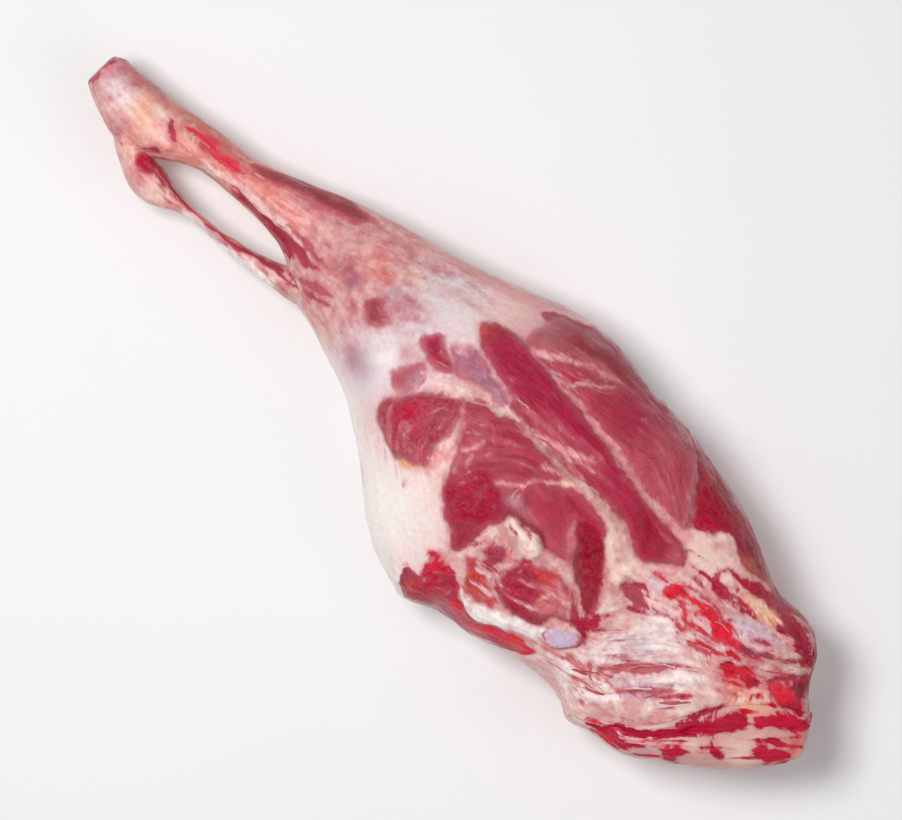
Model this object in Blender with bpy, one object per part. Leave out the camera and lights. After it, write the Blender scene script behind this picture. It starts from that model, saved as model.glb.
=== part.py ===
"""A raw whole leg of lamb, bone in, lying on its outer side with its inner side up.

The frame: X runs along the leg from the hock (-X) to the rump (+X), Y runs across it from the
tendon side (-Y) to the knee side (+Y), and Z is up. The origin is under the middle of the leg,
in the plane that it rests on. Lengths are written in millimetres and turned into metres.

Nodes: leg (meat, fat and heel tendon, one solid with the gap behind the shank), backbone (the
halved vertebrae along the rump's edge) and hip_bone (the cut end of the pelvis in the inner face).
"""

import math

import bmesh
import bpy
import numpy as np

MM = 0.001

# Driving dimensions, in millimetres.
LENGTH = 452.0
GAP = 0.3                  # what touching pieces keep between them
STATIONS = 84              # rings along the leg
AROUND = 44                # points on each ring
REST_BLEND = 6.0           # how gently the meat flattens onto the board

# The inner face's outline: where the leg is widest on the knee side, along its length.
KNEE_EDGE = [
    (-226, 8), (-222, 11.5), (-210, 12.5), (-190, 14.5), (-170, 17.5), (-150, 20), (-138, 22.5),
    (-120, 30), (-100, 38), (-70, 47.5), (-40, 55.5), (-10, 66.5), (8, 72.5), (35, 75.5), (60, 73),
    (100, 69), (130, 63), (150, 54.5), (160, 50), (171, 46.5), (182, 47.5), (191, 46), (200, 39.5),
    (210, 24), (219, 14.5), (226, 3),
]
# The same on the tendon side, without the heel and the tendon.
TENDON_EDGE = [
    (-226, -6), (-215, -12), (-200, -16), (-189, -16.5), (-179, -9), (-170, -3), (-160, 0.5),
    (-148, 2), (-130, 3), (-115, 2), (-104, -1), (-97, -6), (-88, -12), (-70, -16.5), (-50, -23),
    (-30, -33.5), (-10, -47), (10, -63.5), (25, -71), (43, -75.5), (60, -69), (78, -66),
    (100, -59.5), (120, -57), (130, -59), (139, -63), (150, -59.5), (165, -57.5), (180, -48.5),
    (195, -38), (210, -25), (219, -14.5), (226, -3),
]
# Heights along the leg: its top, its underside before the board flattens it, and where it is widest.
TOP = [
    (-226, 40), (-205, 43), (-180, 43), (-150, 42), (-120, 45), (-90, 52), (-50, 66), (-10, 79),
    (30, 87), (70, 88), (110, 84), (150, 76), (190, 66), (226, 56),
]
UNDERSIDE = [
    (-226, 17), (-200, 14), (-150, 13), (-120, 10), (-90, 4), (-50, -5), (-10, -10), (60, -13),
    (140, -11), (190, -7), (226, 2),
]
WIDEST = [(-226, 28), (-150, 28), (-90, 27), (-40, 30), (30, 36), (100, 38), (160, 34), (226, 30)]
# How square the rings are: 2 is an ellipse, and more is squarer.
TOP_SQUARENESS = [(-226, 2.6), (-190, 2.3), (-60, 2.2), (30, 2.5), (110, 2.9), (180, 4.2), (226, 5.5)]
UNDER_SQUARENESS = [(-226, 2.4), (-60, 2.1), (60, 2.2), (150, 2.6), (226, 4.5)]

# Broad swells (+) and hollows (-) of the inner face: x, y, reach along x, reach along y, height.
SWELLS = {
    "topside": (12, -6, 42, 34, 3.5),
    "thigh_front": (62, 52, 62, 20, 2.5),
    "strap_muscle": (45, 30, 70, 9, 2.0),
    "fat_corner": (22, -58, 34, 16, -4.0),
    "pelvis_hollow": (142, -24, 36, 26, -6.5),
    "knee_joint": (-42, 30, 22, 18, 2.0),
    "shank_groove": (-112, 16, 30, 5, -1.2),
}

# The heel and tendon: x, y, z of its middle line, half its width and half its height.
HEEL_TENDON = [
    (-204, -8.0, 28, 7.0, 9.0), (-190, -15.0, 28, 8.5, 11.0), (-179, -19.5, 28, 8.6, 11.5),
    (-170, -20.6, 28, 7.6, 10.5), (-163, -19.6, 28, 5.2, 8.0), (-155, -17.6, 28, 2.8, 5.5),
    (-145, -16.8, 28, 1.9, 4.5), (-132, -15.9, 28, 2.2, 4.5), (-120, -14.4, 28, 3.4, 5.5),
    (-108, -11.6, 29, 4.6, 7.5), (-98, -9.0, 29, 6.2, 10.0), (-86, -6.0, 30, 7.0, 12.0),
    (-74, -3.0, 30, 6.0, 11.0),
]
TENDON_RINGS = 34
TENDON_SIDES = 12

# The sawn spine: its inner border across the inner face, from the tail to the rump's end.
SPINE_BORDER = [
    (132, -70), (138, -60.5), (149, -53), (162, -42.5), (172, -29), (180, -14.5), (189, -2.5),
    (200, 8), (211, 15.5), (221, 19), (232, 21),
]
SPINE_DEPTH = 15.0         # half a vertebra, left on the face by the saw
OUTSIDE = 40.0             # how far a cutter reaches past the meat

# The cut end of the hip bone in the inner face.
HIP_CENTRE = (108.0, -38.0)
HIP_HALF_SIZE = (9.0, 5.2)
HIP_TURN = math.radians(38)
HIP_DEPTH = 24.0
HIP_TAPER = 0.72           # its size at the bottom
HIP_PROUD = 1.0            # how far its end stands out of the meat
HIP_END = 0.84             # its size at that end, whose rim is rounded
HIP_SIDES = 20

MEAT_RED = (0.42, 0.09, 0.11)
BONE_RED = (0.50, 0.12, 0.11)
CARTILAGE = (0.68, 0.66, 0.74)


def follow(points, at):
    """Smooth line through (place, value) points that never overshoots them: a cubic between each
    two points, whose slope at a point is the harmonic mean of the slopes on its two sides."""
    place, value = np.array(points, float).T
    step = np.diff(place)
    slope = np.diff(value) / step
    both = slope[1:] * slope[:-1]
    inner = np.where(both > 0, 2 * both / np.where(both > 0, slope[1:] + slope[:-1], 1), 0)
    lean = np.concatenate([slope[:1], inner, slope[-1:]])
    i = np.clip(np.searchsorted(place, at) - 1, 0, len(step) - 1)
    t = np.clip((at - place[i]) / step[i], 0, 1)
    start = value[i] * (1 + 2 * t) + step[i] * lean[i] * t
    end = value[i + 1] * (3 - 2 * t) - step[i] * lean[i + 1] * (1 - t)
    return start * (1 - t) ** 2 + end * t**2


def power(wave, squareness):
    """A sine or cosine made squarer: its sign times its size to the power 2 / squareness."""
    return np.sign(wave) * np.abs(wave) ** (2 / squareness)


def on_board(z):
    """Heights with the underside laid on the board: max(z, 0), rounded over REST_BLEND."""
    near = np.clip(REST_BLEND - np.abs(z), 0, None)
    return np.maximum(z, 0) + near**2 / (4 * REST_BLEND)


def swell(x, y):
    """Height of the broad swells at (x, y): the sum of a bell curve for each."""
    total = np.zeros(np.broadcast(x, y).shape)
    for centre_x, centre_y, reach_x, reach_y, height in SWELLS.values():
        far = ((x - centre_x) / reach_x) ** 2 + ((y - centre_y) / reach_y) ** 2
        total += height * np.exp(-far)
    return total


def leg_surface(x, angle):
    """Points of the leg. x is a column of stations and angle a row round the ring: 0 is the knee
    side and a quarter turn is the top. A ring is a squared ellipse with its own top and underside."""
    knee, tendon = follow(KNEE_EDGE, x), follow(TENDON_EDGE, x)
    top, under, widest = follow(TOP, x), follow(UNDERSIDE, x), follow(WIDEST, x)
    upper = np.sin(angle) > 0
    squareness = np.where(upper, follow(TOP_SQUARENESS, x), follow(UNDER_SQUARENESS, x))
    across = power(np.cos(angle), squareness)
    rise = power(np.sin(angle), squareness)
    y = (knee + tendon) / 2 + across * (knee - tendon) / 2
    z = widest + rise * np.where(upper, top - widest, widest - under)
    z = z + swell(x, y) * np.clip(rise, 0, 1) ** 0.7
    return np.stack(np.broadcast_arrays(x, y, on_board(z)), axis=-1)


def stations(count):
    """Places along the leg, closer together near its two ends: a mix of equal and cosine steps."""
    t = np.linspace(0, 1, count)
    return LENGTH / 2 * (0.6 * (2 * t - 1) - 0.4 * np.cos(math.pi * t))


def solid(name, rings, colour):
    """Object of one closed tube through rings, an array of (ring, point, xyz) in millimetres, with
    a flat cap on each end."""
    count, sides = rings.shape[:2]
    mesh = bmesh.new()
    rows = [[mesh.verts.new(point * MM) for point in ring] for ring in rings]
    for near, far in zip(rows, rows[1:]):
        for side in range(sides):
            after = (side + 1) % sides
            mesh.faces.new((near[side], near[after], far[after], far[side]))
    mesh.faces.new(rows[0][::-1])
    mesh.faces.new(rows[count - 1])
    bmesh.ops.recalc_face_normals(mesh, faces=mesh.faces)
    data = bpy.data.meshes.new(name)
    mesh.to_mesh(data)
    mesh.free()
    data.shade_smooth()
    data.set_sharp_from_angle(angle=math.radians(50))
    data.materials.append(colour)
    made = bpy.data.objects.new(name, data)
    bpy.context.scene.collection.objects.link(made)
    return made


def prism(name, outline, low, high, colour):
    """Upright prism over an outline of (x, y) points, from height low to height high."""
    outline = np.array(outline, float)
    rings = [np.column_stack([outline, np.full(len(outline), z)]) for z in (low, high)]
    return solid(name, np.array(rings), colour)


def as_cutter(helper):
    """Marks a helper that only cuts, so that it isn't a piece of the leg."""
    helper.hide_render = True
    helper.display_type = "WIRE"
    return helper


def combine(target, other, operation):
    """Adds a Boolean of other to target."""
    change = target.modifiers.new(f"{operation.lower()}_{other.name}", "BOOLEAN")
    change.object = other
    change.operation = operation
    change.solver = "EXACT"


def material(name, colour, roughness):
    """Plain moist finish."""
    made = bpy.data.materials.new(name)
    made.use_nodes = True
    shader = made.node_tree.nodes["Principled BSDF"]
    shader.inputs["Base Color"].default_value = (*colour, 1)
    shader.inputs["Roughness"].default_value = roughness
    shader.inputs["Metallic"].default_value = 0
    return made


def whole_leg(name, colour):
    """The leg without its tendon, before the spine and the hip bone are parted from it."""
    angle = np.linspace(0, 2 * math.pi, AROUND, endpoint=False)[None, :]
    return solid(name, leg_surface(stations(STATIONS)[:, None], angle), colour)


def heel_tendon(name, colour):
    """The heel and the tendon that runs from it to the calf: an ellipse carried along a line."""
    line = np.array(HEEL_TENDON)
    x = np.linspace(line[0, 0], line[-1, 0], TENDON_RINGS)[:, None]
    y, z, half_width, half_height = (follow(line[:, [0, k]], x) for k in range(1, 5))
    angle = np.linspace(0, 2 * math.pi, TENDON_SIDES, endpoint=False)[None, :]
    y, z = y + half_width * np.cos(angle), z + half_height * np.sin(angle)
    return solid(name, np.stack(np.broadcast_arrays(x, y, z), axis=-1), colour)


def spine_cutter(name, inset, colour):
    """Block over the sawn spine: between its border, moved inwards by inset, and the outside."""
    border = np.array(SPINE_BORDER, float)
    along = np.gradient(border, axis=0)
    outward = np.column_stack([along[:, 1], -along[:, 0]])
    border = border + outward / np.linalg.norm(outward, axis=1, keepdims=True) * inset
    far_corner = (LENGTH / 2 + OUTSIDE, -LENGTH / 4)
    outline = [*border, far_corner, (border[0, 0], far_corner[1])]
    floor = follow(TOP, border[:, 0]).min() - SPINE_DEPTH + inset
    return prism(name, outline, floor, LENGTH / 4, colour)


def hip_plug(name, grow, shoulder, end, end_size, colour):
    """Tapered oval plug on the hip bone's place, grown by grow: it widens up to the height shoulder
    and ends, at end_size times its full size, at the height end."""
    angle = np.linspace(0, 2 * math.pi, HIP_SIDES, endpoint=False)
    turn = np.array([[math.cos(HIP_TURN), math.sin(HIP_TURN)], [-math.sin(HIP_TURN), math.cos(HIP_TURN)]])
    rings = []
    for size, z in ((HIP_TAPER, shoulder - HIP_DEPTH - grow), (1, shoulder), (end_size, end)):
        half = np.array(HIP_HALF_SIZE) * size + grow
        oval = np.column_stack([half[0] * np.cos(angle), half[1] * np.sin(angle)]) @ turn
        rings.append(np.column_stack([oval + HIP_CENTRE, np.full(HIP_SIDES, z)]))
    return solid(name, np.array(rings), colour)


def face_height(x, y):
    """Height of the inner face over the point (x, y)."""
    quarter = np.linspace(0.02, math.pi - 0.02, 720)[None, :]
    ring = leg_surface(np.array([[float(x)]]), quarter)[0]
    order = np.argsort(ring[:, 1])
    return float(np.interp(y, ring[order, 1], ring[order, 2]))


def main():
    for old in list(bpy.data.objects):
        bpy.data.objects.remove(old)
    meat = material("meat", MEAT_RED, 0.4)
    bone = material("bone", BONE_RED, 0.5)
    cartilage = material("cartilage", CARTILAGE, 0.35)

    leg = whole_leg("leg", meat)
    combine(leg, as_cutter(heel_tendon("tendon_to_join", meat)), "UNION")
    combine(leg, as_cutter(spine_cutter("spine_room", 0, meat)), "DIFFERENCE")

    backbone = whole_leg("backbone", bone)
    combine(backbone, as_cutter(spine_cutter("spine_shape", GAP, bone)), "INTERSECT")

    face = face_height(*HIP_CENTRE)
    hip_plug("hip_bone", 0, face, face + HIP_PROUD, HIP_END, cartilage)
    combine(leg, as_cutter(hip_plug("hip_room", GAP, face, face + OUTSIDE, 1, meat)), "DIFFERENCE")


main()
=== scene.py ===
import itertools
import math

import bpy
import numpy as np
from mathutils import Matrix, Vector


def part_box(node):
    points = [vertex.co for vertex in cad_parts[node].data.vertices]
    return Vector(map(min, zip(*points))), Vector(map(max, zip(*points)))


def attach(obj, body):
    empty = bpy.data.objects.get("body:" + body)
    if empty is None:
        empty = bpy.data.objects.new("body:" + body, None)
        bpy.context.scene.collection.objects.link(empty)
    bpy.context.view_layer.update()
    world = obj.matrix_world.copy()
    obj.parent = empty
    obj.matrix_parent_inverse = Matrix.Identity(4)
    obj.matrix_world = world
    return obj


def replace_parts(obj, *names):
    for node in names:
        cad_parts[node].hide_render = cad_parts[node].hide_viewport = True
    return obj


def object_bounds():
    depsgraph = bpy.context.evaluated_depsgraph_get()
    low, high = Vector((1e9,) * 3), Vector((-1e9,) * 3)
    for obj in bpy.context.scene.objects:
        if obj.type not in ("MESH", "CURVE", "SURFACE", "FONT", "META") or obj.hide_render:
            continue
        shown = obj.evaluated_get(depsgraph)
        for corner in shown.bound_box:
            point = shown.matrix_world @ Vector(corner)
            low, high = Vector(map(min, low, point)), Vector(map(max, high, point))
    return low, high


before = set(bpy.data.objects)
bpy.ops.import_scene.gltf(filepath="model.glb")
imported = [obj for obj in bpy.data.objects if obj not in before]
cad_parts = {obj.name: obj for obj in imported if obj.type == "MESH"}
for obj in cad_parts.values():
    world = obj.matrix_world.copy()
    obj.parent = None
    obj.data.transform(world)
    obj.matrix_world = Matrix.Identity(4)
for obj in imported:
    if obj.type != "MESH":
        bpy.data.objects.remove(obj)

# A raw whole leg of lamb, bone in, lying on its outer side with its inner side up.
#
# The frame is the CAD's: X runs from the hock (-X) to the rump (+X), Y from the tendon side (-Y) to
# the knee side (+Y), and Z is up. Lengths are written in millimetres and go into meshes in metres.
# Every piece is a surface worked out with numpy on a grid. One map of the leg's own patches, strands
# and stains, drawn over (x, y), gives each point its lean, its colours and its relief.

CAD_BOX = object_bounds()
MM = 0.001
LENGTH = (CAD_BOX[1].x - CAD_BOX[0].x) / MM
REST_BLEND = 6.0           # how gently the meat flattens onto the board

# ---------------------------------------------------------------- the leg's form, as the CAD has it

KNEE_EDGE = [
    (-226, 10.2), (-222, 11.8), (-210, 12.5), (-190, 14.5), (-170, 17.5), (-150, 20), (-138, 22.5),
    (-120, 30), (-100, 38), (-70, 47.5), (-40, 55.5), (-10, 66.5), (8, 72.5), (35, 75.5), (60, 73),
    (100, 69), (130, 63), (150, 54.5), (160, 50), (171, 46.5), (182, 47.5), (191, 46), (200, 39.5),
    (210, 24), (219, 14.5), (226, 3),
]
TENDON_EDGE = [
    (-226, -7.4), (-215, -12.2), (-200, -16), (-189, -16.5), (-179, -9), (-170, -3), (-160, 0.5),
    (-148, 2), (-130, 3), (-115, 2), (-104, -1), (-97, -6), (-88, -12), (-70, -16.5), (-50, -23),
    (-30, -33.5), (-10, -47), (10, -63.5), (25, -71), (43, -75.5), (60, -69), (78, -66),
    (100, -59.5), (120, -57), (130, -59), (139, -63), (150, -59.5), (165, -57.5), (180, -48.5),
    (195, -38), (210, -25), (219, -14.5), (226, -3),
]
TOP = [
    (-226, 40), (-205, 43), (-180, 43), (-150, 42), (-120, 45), (-90, 52), (-50, 66), (-10, 79),
    (30, 87), (70, 88), (110, 84), (150, 76), (190, 66), (226, 56),
]
UNDERSIDE = [
    (-226, 17), (-200, 14), (-150, 13), (-120, 10), (-90, 4), (-50, -5), (-10, -10), (60, -13),
    (140, -11), (190, -7), (226, 2),
]
WIDEST = [(-226, 28), (-150, 28), (-90, 27), (-40, 30), (30, 36), (100, 38), (160, 34), (226, 30)]
TOP_SQUARENESS = [(-226, 2.6), (-190, 2.3), (-60, 2.2), (30, 2.5), (110, 2.9), (180, 4.2), (226, 5.5)]
UNDER_SQUARENESS = [(-226, 2.4), (-60, 2.1), (60, 2.2), (150, 2.6), (226, 4.5)]

# Broad swells (+) and hollows (-) of the inner face: x, y, reach along x, reach along y, height.
SWELLS = {
    "topside": (12, -6, 42, 34, 3.5),
    "thigh_front": (62, 52, 62, 20, 2.5),
    "strap_muscle": (45, 30, 70, 9, 2.0),
    "fat_corner": (22, -58, 34, 16, -4.0),
    "pelvis_hollow": (142, -24, 36, 26, -6.5),
    "knee_joint": (-42, 30, 22, 18, 2.0),
    "shank_groove": (-112, 16, 30, 5, -1.2),
}

# The heel and tendon: x, y, z of its middle line, half its width and half its height.
HEEL_TENDON = [
    (-204, -8.0, 28, 7.0, 9.0), (-190, -15.0, 28, 8.5, 11.0), (-179, -19.5, 28, 8.6, 11.5),
    (-170, -20.6, 28, 7.6, 10.5), (-163, -19.6, 28, 5.2, 8.0), (-155, -17.6, 28, 2.8, 5.5),
    (-145, -16.8, 28, 1.9, 4.5), (-132, -15.9, 28, 2.2, 4.5), (-120, -14.4, 28, 3.4, 5.5),
    (-108, -11.6, 29, 4.6, 7.5), (-98, -9.0, 29, 6.2, 10.0), (-86, -6.0, 30, 7.0, 12.0),
    (-74, -3.0, 30, 6.0, 11.0),
]

# The sawn spine's inner border across the inner face, from the tail to the rump's end.
SPINE_BORDER = [
    (132, -70), (138, -60.5), (149, -53), (162, -42.5), (172, -29), (180, -14.5), (189, -2.5),
    (200, 8), (211, 15.5), (221, 19), (232, 21),
]
HIP_CENTRE = (108.0, -38.0)
HIP_HALF_SIZE = (9.0, 5.2)
HIP_TURN = math.radians(38)

# ------------------------------------------------------------------------------- the grids' fineness

ALONG = 442                # rings along the leg, without those on its two ends
AROUND = 218               # points on each ring
RING_SHARE = [             # how closely the rings lie along the leg
    (-226, 2.4), (-216, 0.85), (-70, 0.85), (-20, 1.0), (110, 1.1), (130, 1.35), (214, 1.35),
    (226, 2.4),
]
DENSE = 720                # points from which a ring's own are chosen
SIDE_SHARE = 0.55          # how closely the side walls' points lie, next to the inner face's
UNDER_SHARE = 0.1          # the same for the flattened underside

# --------------------------------------------------------------------------------- the meat's colours

TONES = {
    # a dark red for painted shadow in crevices
    "shadow_dark_red": (112, 22, 40),
    "deep_crimson": (180, 20, 68),
    "wine": (162, 14, 60),
    "crimson": (170, 58, 80),
    "bright_crimson": (194, 36, 74),
    "ruby": (172, 38, 74),
    "scarlet": (236, 16, 66),
    "orange_red": (212, 80, 72),
    "dusky_red": (178, 78, 92),
    "topside_red": (170, 66, 82),
    "dusky_rose": (186, 98, 108),
    "maroon": (164, 78, 84),
    "dark_maroon": (140, 48, 62),
    "rose": (200, 108, 120),
    "mauve": (190, 128, 140),
    "lilac": (208, 178, 190),
    "blue_white": (200, 184, 210),
    "grey_lilac": (180, 154, 168),
    "plum": (150, 86, 116),
    "coral": (226, 136, 132),
    "salmon": (232, 148, 130),
    "brown_pink": (200, 122, 106),
    "rust": (191, 93, 82),
    "beige": (208, 162, 152),
    "dull_pink": (222, 168, 162),
    "pink": (238, 172, 166),
    "pale_pink": (244, 202, 197),
    "cream": (238, 205, 190),
    "yellow_cream": (250, 196, 154),
    "seam_pink": (232, 166, 170),
    "cream_fat": (246, 220, 206),
    "white_fat": (255, 243, 239),
    "bluish_white": (232, 216, 219),
    "bright_white": (255, 244, 238),
}

# ------------------------------------------------------------------------------ the inner face's map
#
# Patches are laid in this order: a closed outline in (x, y), its kind, its tone, how softly the tone
# fades in at the outline, how high it stands (or how deep it lies), and how wide its shoulder is.

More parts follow.
